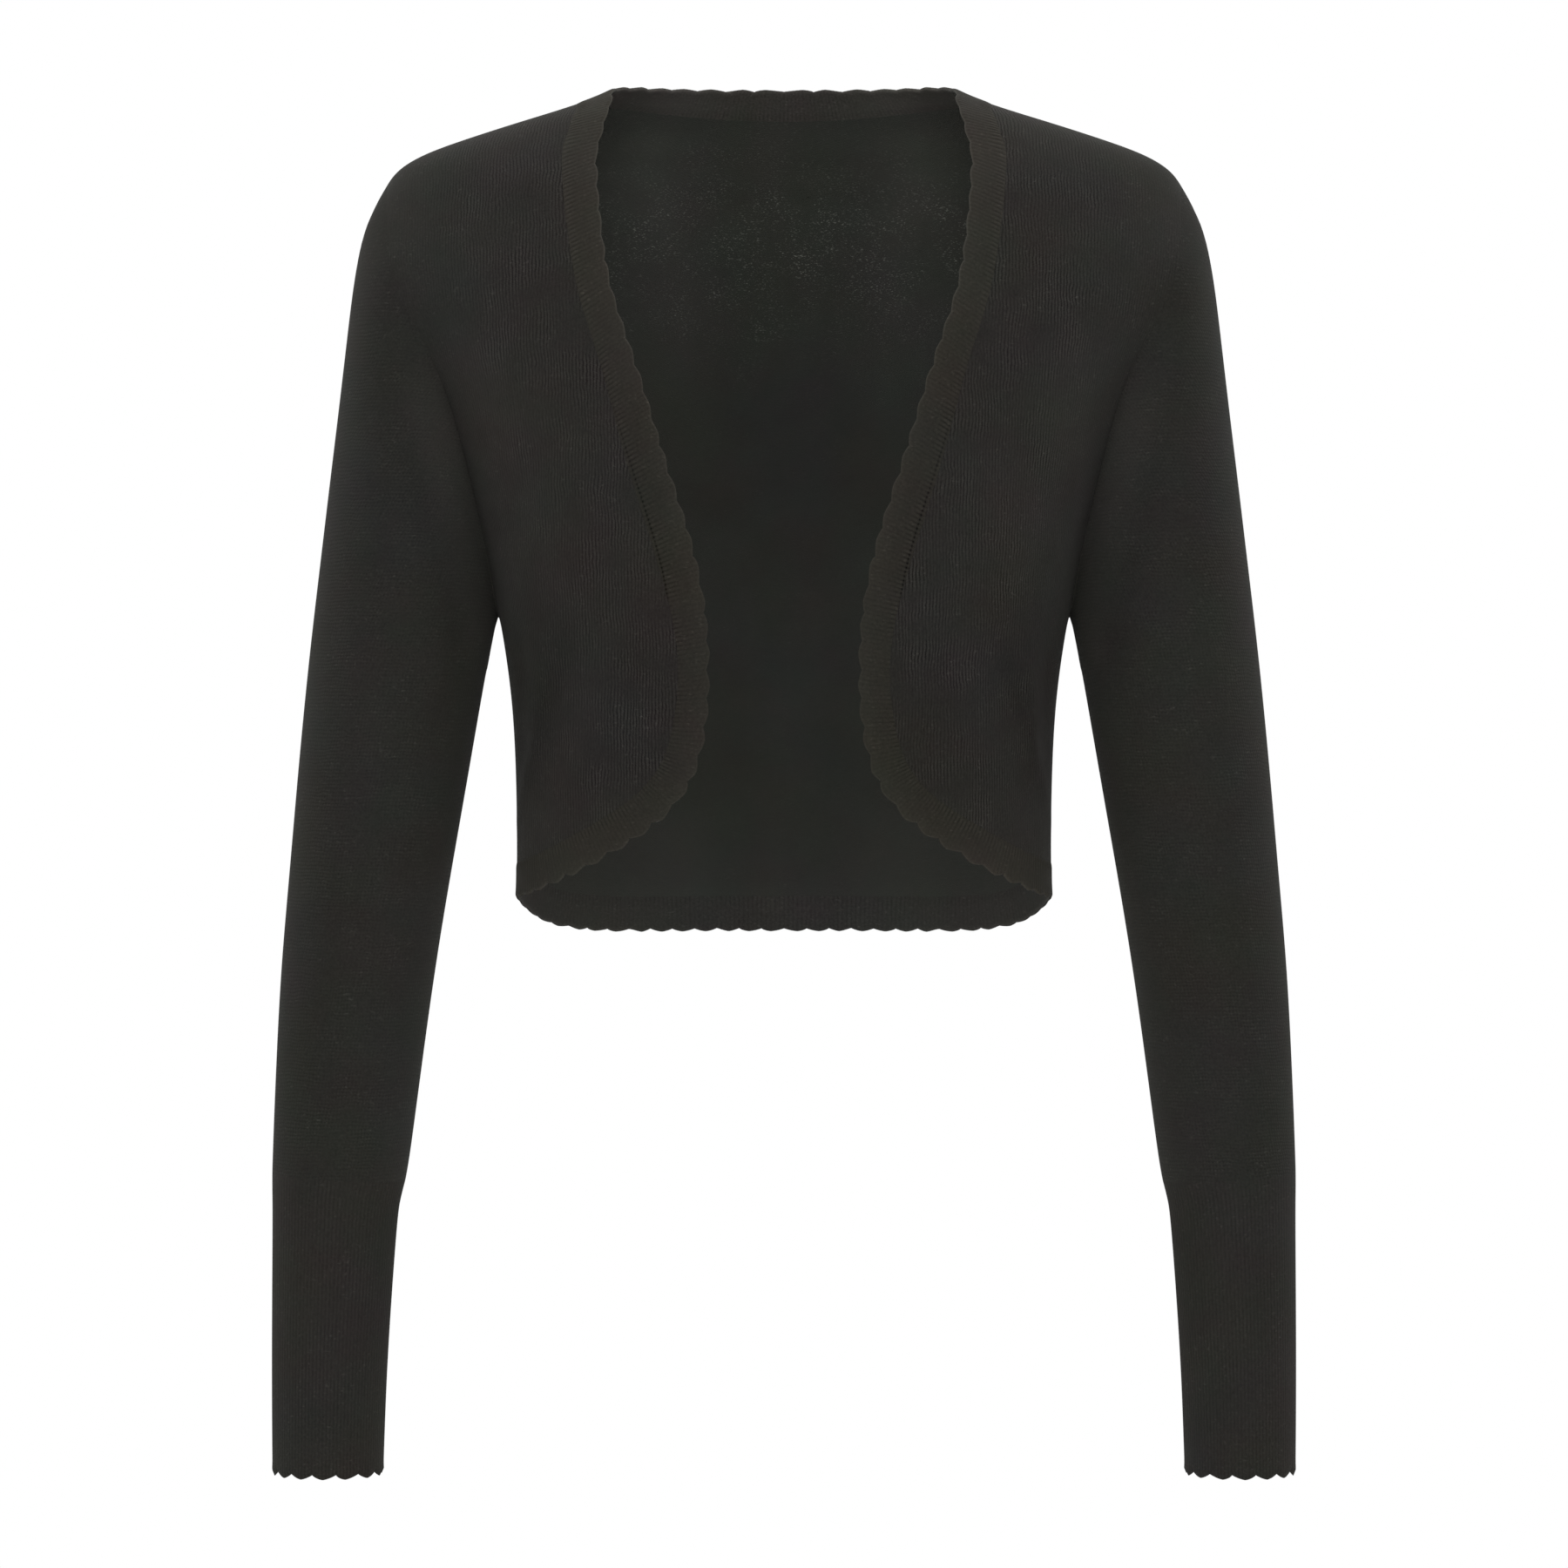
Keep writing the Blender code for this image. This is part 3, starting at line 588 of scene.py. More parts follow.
def sleeve_rings(front_armhole, back_armhole):
    """The sleeve's rings, the first of them the armhole itself."""
    armhole = np.concatenate((form_point(front_armhole), form_point(back_armhole)[-2:0:-1]))
    turns = np.linspace(0, 2 * pi, len(armhole), endpoint=False)
    first = ellipse_rings({name: values[:1] for name, values in SLEEVE.items()}, turns)
    rows = finer(SLEEVE, SLEEVE_ROWS)
    rings = ellipse_rings(rows, turns) + rows["hold"][:, None, None] * (armhole - first[0])
    rings[0] = armhole
    return rings


class ArmholeFill:
    """Rounds out the valley and the ridge where sleeve and body meet, as soft cloth does."""

    def __init__(self, rings, body_normals):
        sleeve_normals = grid_normals(rings)[0]
        middle = unit(sleeve_normals + body_normals)
        cosine = dot(sleeve_normals, body_normals)[:, 0]
        valley = dot(rings[2] - rings[0], body_normals)[:, 0] > 0
        slope = np.sqrt((1 - cosine) / (1 + cosine))
        level = rings[0, :, 2]
        width = FILL_TOP + (FILL_PIT - FILL_TOP) * smooth_step(*FILL_LEVELS, level)
        height = np.minimum(width * slope, FILL_MOST * np.minimum(1, width / FILL_FULL_WIDTH))
        height = np.where(valley, height, -np.minimum(SHOULDER_WIDTH * slope, SHOULDER_MOST))
        width = np.where(valley, width, SHOULDER_WIDTH)
        crease = CREASE * smooth_step(*CREASE_LEVELS, level) * valley
        line = np.concatenate((rings[0], middle, np.stack((width, height, crease), axis=-1)), axis=1)
        places = np.linspace(0, len(line), FILL_SAMPLES * len(line), endpoint=False)
        line = pick(np.concatenate((line, line[:1])), places)
        self.way = line[:, 3:6]
        self.width, self.height, self.crease = line[:, 6:].T
        self.tree = KDTree(len(line))
        for number, point in enumerate(line[:, :3]):
            self.tree.insert(point, number)
        self.tree.balance()

    def __call__(self, points):
        found = [self.tree.find(point)[1:] for point in points.reshape(-1, 3)]
        number, distance = (np.array(values) for values in zip(*found))
        move = self.height[number] * np.exp(-distance / self.width[number])
        move -= self.crease[number] * np.exp(-((distance / CREASE_WIDTH) ** 2))
        return (self.way[number] * move[:, None]).reshape(points.shape)


def front_grids(outline_chart, seam_shoulder, seam_side):
    length = length_along(form_point(opening.seam))
    steps = np.arange(LOOP_SAMPLES)
    first, last = np.interp((seam_shoulder, seam_side), steps, length)
    right = outline_chart[SHOULDER_STEPS:]
    share = length_along(form_point(right))
    left = pick(opening.seam, np.interp(first + share / share[-1] * (last - first), length, steps))
    share = 1 - finer_to_start(FRONT_COLUMNS)[::-1, None]
    chart = left[:, None] * (1 - share) + right[:, None] * share
    return panel_grids(chart, (BAND_SEAM_DEPTH, np.s_[:, 0]), (SEAM_DEPTH, np.s_[0, 1:-1]))


def back_grids(side, seam_shoulder, seam_side):
    share = finer_to_start(BACK_COLUMNS)
    lines = []
    for first, last in ((int(seam_shoulder) + 1, -1), (int(seam_side), LOOP_SAMPLES)):
        steps = np.arange(first, last, 1 if last > first else -1)
        lines.append(pick(opening.seam, np.interp(1 + share, opening.seam[steps, 0], steps)))
    neck, hem = lines
    chart = np.empty((len(side), BACK_COLUMNS + 1, 2))
    for row, (around, level) in enumerate(side):
        down = (level - side[0, 1]) / (side[-1, 1] - side[0, 1])
        chart[row, :, 0] = around + share * (2 - around)
        neck_level, hem_level = (np.interp(chart[row, :, 0], *line.T) for line in (neck, hem))
        rise = (1 - down) * (neck_level - neck_level[0]) + down * (hem_level - hem_level[0])
        chart[row, :, 1] = level + rise
    return panel_grids(chart, (BAND_SEAM_DEPTH, [0, -1]), (SEAM_DEPTH, np.s_[1:SHOULDER_STEPS, 0]))


def scallop_notch(count, per_scallop, seed):
    """How far each station lies short of the tips of the slightly leaning scallops, from 0 to 1."""
    scallop, phase = np.divmod(np.arange(count) / per_scallop, 1)
    lean = np.random.default_rng(seed).uniform(-0.35, 0.35, int(scallop[-1]) + 1)
    phase = phase ** np.exp(lean[scallop.astype(int)])
    return 0.6 * (1 - np.sin(pi * phase) ** 0.9) + 0.4 * np.abs(2 * phase - 1)


def rib_relief(stations, seed):
    """A rib's rise over its middle height, at each station, with slow changes in how much the ribs show."""
    phase = np.arange(stations) / RIB_STEPS
    crest = np.abs(np.sin(pi * phase)) ** 0.8 - 0.55
    show = 0.75 + 0.35 * waves(phase / 14, seed)
    return RIB_RELIEF * crest * show


def lip_rounding(share):
    """From 1 over most of a band to 0 at its free edge."""
    into = np.clip((share - (1 - LIP)) / LIP, 0, 1)
    return np.sqrt(np.clip(1 - into**2, 0, 1))


def band_grids(edge_ends, seam_ends, scallops, ribs, seed, last_open=True):
    """A band's outer and inner grids, from the body's seam to the scalloped edge."""
    per_scallop = ribs * RIB_STEPS
    count = scallops * per_scallop
    edge_position = even_positions(opening.length, *edge_ends, count)
    done = (edge_position - edge_ends[0]) / (edge_ends[1] - edge_ends[0])
    start = pick(opening.seam, seam_ends[0] + done * (seam_ends[1] - seam_ends[0]))
    edge = pick(opening.edge, edge_position)
    width = np.linalg.norm(form_point(edge) - form_point(start), axis=-1)
    tuck, depth = pick(np.stack((opening.tuck, opening.scallop), axis=-1), edge_position).T
    stations = np.arange(count + 1)
    depth = depth * (1 + 0.25 * waves(stations / per_scallop * 1.9, seed + 2))
    notch = scallop_notch(count + 1, per_scallop, seed)
    columns = BAND_COLUMNS[None]
    share = np.repeat(columns, count + 1, axis=0)
    tip = smooth_step(TIP_START, 1.0, share)
    share = share - tip * (notch * depth / width)[:, None]
    share[:, 0] = -OVERLAP / width
    chart = start[:, None] * (1 - share[..., None]) + edge[:, None] * share[..., None]
    normals = form_normal(chart)
    middle = form_point(chart) - normals * (tuck[:, None] * share**2)[..., None]
    round_over = lip_rounding(columns)
    linked = smooth_step(0, LINKED_BY, columns)
    inner_linked = smooth_step(0, INNER_LINKED_BY, columns)
    fade = 0.35 + 0.65 * np.exp(-((columns / 0.3) ** 2)) + 0.3 * smooth_step(0.5, 0.8, columns)
    relief = rib_relief(count + 1, seed)[:, None] * fade * linked * round_over
    rise = smooth_step(0, RAISED_BY, columns) * (RIB_LIFT + BAND_SEAM_DEPTH) - BAND_SEAM_DEPTH
    half = RIB_WALL / 2
    core = rise - half * linked
    outer_lift = core + half * linked * round_over + relief
    inner_lift = -WALL + (core - half * round_over + 0.5 * relief + WALL) * inner_linked
    outer_lift[:, 0] -= PINCH
    inner_lift[:, 0] += PINCH
    flare = 0.2 * tip * (1 - notch)[:, None] * depth[:, None]
    grids = [middle + (lift + flare)[..., None] * normals for lift in (outer_lift, inner_lift)]
    if not last_open:
        for grid in grids:
            grid[-1, :, 0] = 0
    across = np.repeat((stations - count)[:, None] / RIB_STEPS * RIB_PITCH, columns.size, axis=1)
    from_edge = (1 - columns) * width[:, None]
    fabric = np.stack((across, from_edge), axis=-1)
    return [np.swapaxes(grid, 0, 1) for grid in (*grids, fabric)]


def ellipse_rings(rows, turns):
    """Rings through their outer and inner points, from the outer point round by the front."""
    outer = np.stack((rows["outer_x"], -rows["forward"], rows["outer_level"]), axis=-1)
    inner = np.stack((rows["inner_x"], -rows["forward"], rows["inner_level"]), axis=-1)
    turn = turns[None, :, None]
    centre, reach = (outer + inner)[:, None] / 2, (outer - inner)[:, None] / 2
    depth = rows["depth"][:, None, None] * np.array((0, -1, 0))
    return centre + reach * np.cos(turn) + depth * np.sin(turn)


def finer(rows, count):
    """A table's sections, read smoothly at more places along the arm."""
    knots = np.arange(len(rows["outer_x"]), dtype=float)
    middles = np.stack((rows["outer_x"] + rows["inner_x"], rows["outer_level"] + rows["inner_level"]), axis=1)
    spacing = length_along(middles)
    at = np.interp(np.linspace(0, spacing[-1], count + 1), spacing, knots)
    return {name: curve(at, knots, values) for name, values in rows.items()}


def sleeve_grids():
    rings = armhole_rings + fill(armhole_rings)
    normals = grid_normals(rings)
    outer, inner = rings.copy(), rings - WALL * normals
    joint = unit(normals[0] + body_normals)
    inner[0] = rings[0] - WALL * joint
    outer[-1] -= SEAM_DEPTH * normals[-1]
    return outer, inner, tube_map(armhole_rings)


def tube_map(rings):
    """A tube's fabric coordinates: how far round from its outer line, and how far down."""
    closed = np.concatenate((rings, rings[:, :1]), axis=1)
    step = np.linalg.norm(np.diff(closed, axis=1, prepend=closed[:, :1]), axis=-1)
    around = np.cumsum(step, axis=1)
    around = around - around[:, -1:] / 2
    return np.stack((around, -closed[..., 2]), axis=-1)


def cuff_grids(seed):
    """A cuff's outer and inner grids, from the sleeve's end to the scalloped edge."""
    per_scallop = CUFF_RIBS * RIB_STEPS
    stations = CUFF_SCALLOPS * per_scallop
    turns = np.linspace(0, 2 * pi, stations, endpoint=False)
    rings = ellipse_rings(finer(CUFF, CUFF_ROWS), turns)
    normals = grid_normals(rings)
    from_edge = -np.cumsum(np.linalg.norm(np.diff(rings[:, 0], axis=0, prepend=rings[:1, 0]), axis=-1))
    from_edge -= from_edge[-1]
    share = np.linspace(0, 1, CUFF_ROWS + 1)[:, None]
    notch = scallop_notch(stations, per_scallop, seed)
    down = unit(rings[-1] - rings[-2])
    short = smooth_step(CUFF_TIP, 1.0, share) * notch * CUFF_SCALLOP_DEPTH
    rings = rings - short[..., None] * down
    last = np.clip((share - (1 - CUFF_LIP)) / CUFF_LIP, 0, 1)
    round_over = np.sqrt(1 - last**2)
    start = smooth_step(0, 0.05, share)
    show = 0.8 + 0.2 * waves(share * 9, seed + 1)
    relief = rib_relief(stations, seed) * start * show * round_over
    half = RIB_WALL / 2
    outer_lift = half * (round_over - 1) + relief
    outer_lift[0] = -SEAM_DEPTH
    inner_lift = -half - half * round_over + 0.4 * relief
    inner_lift[0] = -WALL
    flare = 0.4 * smooth_step(0.95, 1.0, share) * (1 - notch)
    grids = [rings + (lift + flare)[..., None] * normals for lift in (outer_lift, inner_lift)]
    across = np.arange(stations + 1) / RIB_STEPS * RIB_PITCH
    fabric = np.stack(np.broadcast_arrays(across[None], from_edge[:, None]), axis=-1)
    return (*grids, fabric)


# Materials


class Sketch:
    """Short ways to add nodes to a material."""

    def __init__(self, name):
        self.material = bpy.data.materials.new(name)
        self.material.use_nodes = True
        self.tree = self.material.node_tree
        self.shader = next(node for node in self.tree.nodes if node.type == "BSDF_PRINCIPLED")

    def add(self, kind, **inputs):
        node = self.tree.nodes.new(kind)
        for key, value in inputs.items():
            self.feed(node.inputs[key], value)
        return node

    def feed(self, socket, value):
        if isinstance(value, bpy.types.NodeSocket):
            self.tree.links.new(value, socket)
        else:
            socket.default_value = value

    def math(self, operation, *values):
        node = self.tree.nodes.new("ShaderNodeMath")
        node.operation = operation
        for socket, value in zip(node.inputs, values):
            self.feed(socket, value)
        return node.outputs[0]

    def total(self, first, *others):
        for value in others:
            first = self.math("ADD", first, value)
        return first

    def product(self, first, *others):
        for value in others:
            first = self.math("MULTIPLY", first, value)
        return first

    def from_middle(self, phase):
        """0 in the middle of a stitch or a rib, rising to 1 at its two sides."""
        return self.product(self.math("ABSOLUTE", self.math("SUBTRACT", phase, 0.5)), 2.0)

    def noise(self, vector, scale, detail=2.0, roughness=0.5):
        node = self.add("ShaderNodeTexNoise", Vector=vector, Scale=scale, Detail=detail, Roughness=roughness)
        return node.outputs["Fac"]

    def map_range(self, value, kind, *numbers):
        node = self.add("ShaderNodeMapRange", Value=value)
        node.interpolation_type = kind
        for socket, number in zip(("From Min", "From Max", "To Min", "To Max"), numbers):
            node.inputs[socket].default_value = number
        return node.outputs[0]

    def spread(self, value, low, high):
        """A noise's usual range stretched to the given one."""
        return self.map_range(value, "LINEAR", *NOISE_RANGE, low, high)

    def ramp(self, value, low, high, most):
        """0 below the low value, rising smoothly to the most at the high one."""
        return self.map_range(value, "SMOOTHSTEP", low, high, 0.0, most)

    def bell(self, value, centre, width, most=1.0):
        """The most where the value is at the centre, falling to 0 within about twice the width."""
        away = self.math("DIVIDE", self.math("SUBTRACT", value, centre), width)
        return self.product(self.math("EXPONENT", self.product(away, away, -1.0)), most)


def knit_height(sketch, wale, course, courses):
    """Plain knit's face, from 0 to 1: a ridge along each wale, notched where its stitches meet.

    courses: how far the rows of stitches show, against the wales.
    """
    side = sketch.from_middle(wale)
    ridge = sketch.math("SUBTRACT", 1.0, sketch.math("POWER", side, 2.0))
    slant = sketch.math("FRACT", sketch.math("SUBTRACT", course, sketch.product(side, 0.25)))
    loop = sketch.math("SINE", sketch.product(slant, pi))
    ridge = sketch.product(ridge, 1.0 - courses)
    return sketch.math("MULTIPLY_ADD", loop, courses, ridge)


def purl_height(sketch, wale, course):
    """Plain knit's other side, from 0 to 1: rows of small arcs."""
    bow = sketch.product(sketch.math("POWER", sketch.from_middle(wale), 2.0), 0.5)
    phase = sketch.math("FRACT", sketch.total(course, bow))
    return sketch.math("SINE", sketch.product(phase, pi))


class Knit(Sketch):
    """A knit's material over the fabric's own coordinates."""

    def __init__(self, name, colour):
        super().__init__(name)
        self.colour = colour
        fabric = self.add("ShaderNodeUVMap")
        fabric.uv_map = "fabric"
        self.place = self.add("ShaderNodeTexCoord").outputs["Object"]
        self.parts = self.add("ShaderNodeSeparateXYZ", Vector=fabric.outputs["UV"]).outputs
        self.spot = self.add("ShaderNodeSeparateXYZ", Vector=self.place).outputs
        self.away = self.math("ABSOLUTE", self.spot[0])
        self.fuzz = self.noise(self.place, 950.0, 3.0, 0.7)

    def stitches(self, wale, course):
        """Each place's share of the way across its wale and down its course, both a little uneven."""
        drift = self.product(self.math("SUBTRACT", self.noise(self.place, 50.0), 0.5), 2.2)
        jitter = self.product(self.math("SUBTRACT", self.noise(self.place, 260.0), 0.5), 0.8)
        drift = self.total(drift, jitter)
        across = self.total(self.math("DIVIDE", self.parts[0], wale * MM), drift)
        down = self.total(self.math("DIVIDE", self.parts[1], course * MM), drift)
        return self.math("FRACT", across), self.math("FRACT", down)

    def finish(self, height, depth, middle, clear, specks, relief, sheen, added, rough=0.24, warm=0.0,
               dots=(1200.0, 0.45, 0.67)):
        """Tone from the stitches' height, with worn patches and loose bright fibres, and the surface itself.

        depth: how much darker the valleys are; middle: the height with the plain tone; clear: how far the
        stitches show from place to place; specks: how bright the loose fibres are, which on the inside are
        also painted highlights on its stitches; relief: the bumps' height in millimetres; sheen: how much the
        nap shows;
        added: extra tone, which holds the painted light and shade, and in the ribs also the linking's dots;
        rough:
        how uneven the tone is from stitch to stitch; warm: how far the hue turns to red; dots: how fine the
        fibres are, how far they are drawn out sideways, and above which noise they show.
        """
        seen = self.spread(self.noise(self.place, 65.0, 3.0, 0.6), *clear)
        deep = self.product(self.math("SUBTRACT", height, middle), seen)
        shade = self.math("MULTIPLY_ADD", deep, depth, 1.0)
        patches = self.spread(self.noise(self.place, 40.0, 4.0, 0.65), 0.94, 1.06)
        shade = self.product(shade, patches, self.spread(self.fuzz, 1.0 - rough, 1.0 + rough))
        scale, flat, least = dots
        stretched = self.add("ShaderNodeVectorMath")
        stretched.operation = "MULTIPLY"
        self.feed(stretched.inputs[0], self.place)
        stretched.inputs[1].default_value = (flat, flat, 1.0)
        fibres = self.math("SUBTRACT", self.noise(stretched.outputs[0], scale, 0.0), least)
        fibres = self.product(self.math("MAXIMUM", fibres, 0.0), specks, seen)
        shade = self.total(shade, fibres, added)
        hue = self.total(self.spread(self.noise(self.place, 28.0, 3.0, 0.6), -0.045, 0.045), warm)
        red, green = self.total(shade, hue), self.math("SUBTRACT", shade, hue)
        blue = self.total(shade, self.spread(self.noise(self.place, 17.0, 2.0, 0.5), -0.07, 0.06))
        tone = self.add("ShaderNodeMix")
        tone.data_type = "RGBA"
        tone.blend_type = "MULTIPLY"
        tone.inputs[0].default_value = 1.0
        tone.inputs[6].default_value = self.colour
        mixed = self.add("ShaderNodeCombineColor", Red=red, Green=green, Blue=blue)
        self.feed(tone.inputs[7], mixed.outputs[0])
        surface = self.math("MULTIPLY_ADD", self.fuzz, 0.5, self.product(height, 0.9))
        bump = self.add("ShaderNodeBump", Strength=0.8, Distance=relief * MM, Height=surface)
        shader = self.shader.inputs
        self.feed(shader["Base Color"], tone.outputs[2])
        self.feed(shader["Normal"], bump.outputs[0])
        self.feed(shader["Roughness"], self.spread(self.fuzz, 0.84, 0.96))
        shader["Specular IOR Level"].default_value = 0.04
        shader["Sheen Weight"].default_value = sheen
        shader["Sheen Roughness"].default_value = 0.5
        shader["Sheen Tint"].default_value = (0.62, 0.61, 0.57, 1.0)
        self.material.diffuse_color = self.colour
        return self.material


# Places in the tones below are metres in the part's own frame, but those from a free edge millimetres.


def body_painted_light_and_shade(knit):
    """Painted light and shade on the body's outside: a painted shaded strip beyond the fold at its side, with
    a painted lighter line beside it; painted shade lower down and painted light near the hem; and painted
    light beside the sleeve, where the valley at the armhole lies in shade.
    """
    level = knit.spot[2]
    # Painted shade: a darker strip beyond the side fold's line, with a painted lighter line beside it.
    from_fold = knit.math("SUBTRACT", knit.away, knit.math("MULTIPLY_ADD", level, -0.36, -0.0014))
    fold = knit.total(knit.ramp(from_fold, -0.002, 0.006, -0.16), knit.bell(from_fold, -0.012, 0.009, 0.12))
    fold = knit.product(fold, knit.ramp(level, -0.235, -0.29, 1.0))
    # Painted shade from the waist down, and painted light near the hem.
    low = knit.total(knit.ramp(level, -0.22, -0.28, -0.07), knit.ramp(level, -0.32, -0.35, 0.18))
    # Painted light beside the sleeve, lifting the shade in the valley at the armhole.
    by_sleeve = knit.product(
        knit.ramp(knit.away, 0.11, 0.14, 0.14),
        knit.ramp(level, -0.1, -0.14, 1.0),
        knit.ramp(level, -0.28, -0.24, 1.0),
    )
    return knit.total(fold, low, by_sleeve)


def sleeve_painted_light(knit):
    """Painted light on a sleeve's outside, lifting the shade on its side by the body, on its inner side lower
    down, and a little over the whole lower sleeve.
    """
    level = knit.spot[2]
    from_body = knit.math("MULTIPLY_ADD", knit.away, 0.968, knit.math("MULTIPLY_ADD", level, -0.25, -0.1905))
    # Painted light lifting the shade on the sleeve's side by the body.
    beside = knit.product(knit.ramp(from_body, 0.024, 0.0, 0.82), knit.ramp(level, -0.11, -0.18, 1.0))
    # Painted light on the inner side, facing the body, lower down.
    below = knit.product(
        knit.total(knit.ramp(level, -0.37, -0.3, 0.65), 0.36),
        knit.ramp(level, -0.23, -0.27, 1.0),
        knit.bell(knit.parts[0], 0.0, 0.026),
    )
    # with a little painted light over the whole lower sleeve
    return knit.total(beside, below, knit.ramp(level, -0.22, -0.28, 0.04))


def plain_material(name, course, courses, depth, sheen, tones, warm, fade):
    """The outside. The knit shows less near the armhole, between the two values of fade."""
    knit = Knit(name, KNIT)
    height = knit_height(knit, *knit.stitches(WALE, course), courses)
    place, low, high = fade
    show = knit.total(knit.ramp(knit.away if place == "side" else knit.spot[2], low, high, 0.75), 0.25)
    height = knit.math("MULTIPLY_ADD", knit.math("SUBTRACT", height, KNIT_MIDDLE), show, KNIT_MIDDLE)
    return knit.finish(
        height, depth, KNIT_MIDDLE, clear=(-0.2, 1.3), specks=4.5, relief=0.3, sheen=sheen, added=tones(knit),
        warm=knit.ramp(knit.away, 0.165, 0.115, warm))


def purl_material(name):
    """The inside, paler with painted light high up, at the sides and near the hem, lifting the shade that the
    fronts and bands cast on it, and with painted highlights on its stitches high up.
    """
    knit = Knit(name, INSIDE)
    height = purl_height(knit, *knit.stitches(WALE, COURSE))
    level = knit.spot[2]
    # Painted light lifting the shade on the inside: lighter high up, by the neck band's ends, low at the
    # sides, just above the hem and towards the sides.
    sides = knit.total(knit.ramp(knit.away, 0.0, 0.07, 0.34), 0.08)
    stretched = knit.total(
        knit.ramp(level, -0.16, 0.0, 0.3),
        knit.product(knit.ramp(level, -0.07, -0.02, 1.0), knit.ramp(knit.away, 0.03, 0.08, 0.5)),
        knit.product(knit.ramp(level, -0.18, -0.26, 1.0), sides),
        knit.ramp(level, -0.37, -0.39, 0.1),
        knit.ramp(knit.away, 0.02, 0.09, 0.5),
    )
    # Painted highlights: brighter purl bumps high up on the inside, where the light falls.
    specks = knit.total(knit.bell(level, -0.066, 0.04, 22.0), 1.5)
    return knit.finish(
        height, 0.08, KNIT_MIDDLE, clear=(-0.2, 1.0), specks=specks, relief=0.08, sheen=0.03, added=stretched,
        rough=0.04, dots=(2300.0, 0.4, 0.62))


def rib_material(name, colour, plain, edge=0.0, painted_edge_light=0.0, seam=0.0, strip=0.0, sides=None, linked=0.0,
                 sheen=0.03):
    """Ribs that run square to the free edge.

    plain: how far the ribs show, and strip: how much more beside the seam; edge, painted_edge_light: a
    painted highlight in a thin line and painted light in a broad strip at the free edge; seam: how dark the
    linking's dots are; linked: painted light there, lifting the shade beside the seam; sides: where painted
    light starts and is whole towards the body's sides, and how much it is; sheen: how much the nap shows.
    """
    knit = Knit(name, colour)
    side = knit.from_middle(knit.math("FRACT", knit.math("DIVIDE", knit.parts[0], RIB_PITCH * MM)))
    height = knit.math("SUBTRACT", 1.0, knit.math("POWER", side, 2.0))
    from_edge = knit.math("DIVIDE", knit.parts[1], MM)
    show = knit.math("MULTIPLY_ADD", knit.bell(from_edge, *STRIP), strip, plain)
    height = knit.math("MULTIPLY_ADD", knit.math("SUBTRACT", height, RIB_MIDDLE), show, RIB_MIDDLE)
    dots = knit.math("MULTIPLY_ADD", side, -seam, -0.2 * seam)
    # A painted highlight in a thin line and painted light in a broad strip at the free edge, the linking's
    # dark dots, and painted light beside the seam.
    added = knit.total(
        knit.bell(from_edge, 0.0, 0.6, edge),
        knit.bell(from_edge, 0.0, 6.0, painted_edge_light),
        knit.product(knit.bell(from_edge, *LINKING), dots, knit.bell(knit.spot[2], -0.22, 0.06)),
        knit.bell(from_edge, 17.0, 8.0, linked),
    )
    # Painted light towards the body's sides.
    if sides:
        added = knit.total(added, knit.ramp(knit.away, *sides))
    return knit.finish(
        height, 0.75, RIB_MIDDLE, clear=(0.1, 1.0), specks=5.0, relief=RIB_BUMP, sheen=sheen, added=added)


def floor_material():
    sketch = Sketch("pale_floor")
    place = sketch.add("ShaderNodeTexCoord").outputs["Object"]
    grain = sketch.noise(place, 3.0)
    shader = sketch.shader.inputs
    shader["Base Color"].default_value = (0.86, 0.855, 0.845, 1.0)
    sketch.feed(shader["Roughness"], sketch.spread(grain, 0.85, 0.95))
    shader["Specular IOR Level"].default_value = 0.1
    return sketch.material


# Building

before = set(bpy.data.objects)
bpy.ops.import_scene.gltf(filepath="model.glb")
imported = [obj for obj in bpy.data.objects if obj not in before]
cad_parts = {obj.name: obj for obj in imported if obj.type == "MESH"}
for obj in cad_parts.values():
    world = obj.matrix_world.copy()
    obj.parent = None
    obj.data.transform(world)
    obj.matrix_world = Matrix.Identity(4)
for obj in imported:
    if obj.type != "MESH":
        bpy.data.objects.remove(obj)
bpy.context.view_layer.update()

opening = trace_opening()
edge_shoulder, edge_side = side_crossings(opening.edge)
seam_shoulder, seam_side = side_crossings(opening.seam)
centre_hem = LOOP_SAMPLES - 1
top_level, bottom_level = pick(opening.seam, np.array((seam_shoulder, seam_side)))[:, 1]
front_outline = outline("front", top_level, bottom_level)
back_outline = outline("back", top_level, bottom_level)
armhole_part = slice(SHOULDER_STEPS, SHOULDER_STEPS + ARMHOLE_STEPS + 1)
front_armhole, back_armhole = front_outline[armhole_part], back_outline[armhole_part]
armhole_rings = sleeve_rings(front_armhole, back_armhole)
body_normals = np.concatenate((form_normal(front_armhole), form_normal(back_armhole)[-2:0:-1]))
fill = ArmholeFill(armhole_rings, body_normals)

plain = plain_material(
    "plain_knit", COURSE, courses=0.2, depth=1.35, sheen=0.03, tones=body_painted_light_and_shade, warm=0.025,
    fade=("side", 0.18, 0.13))
arm = plain_material(
    "sleeve_knit", SLEEVE_COURSE, courses=0.6, depth=0.5, sheen=0.015, tones=sleeve_painted_light, warm=0.0,
    fade=("level", -0.06, -0.14))
purl = purl_material("plain_knit_inside")
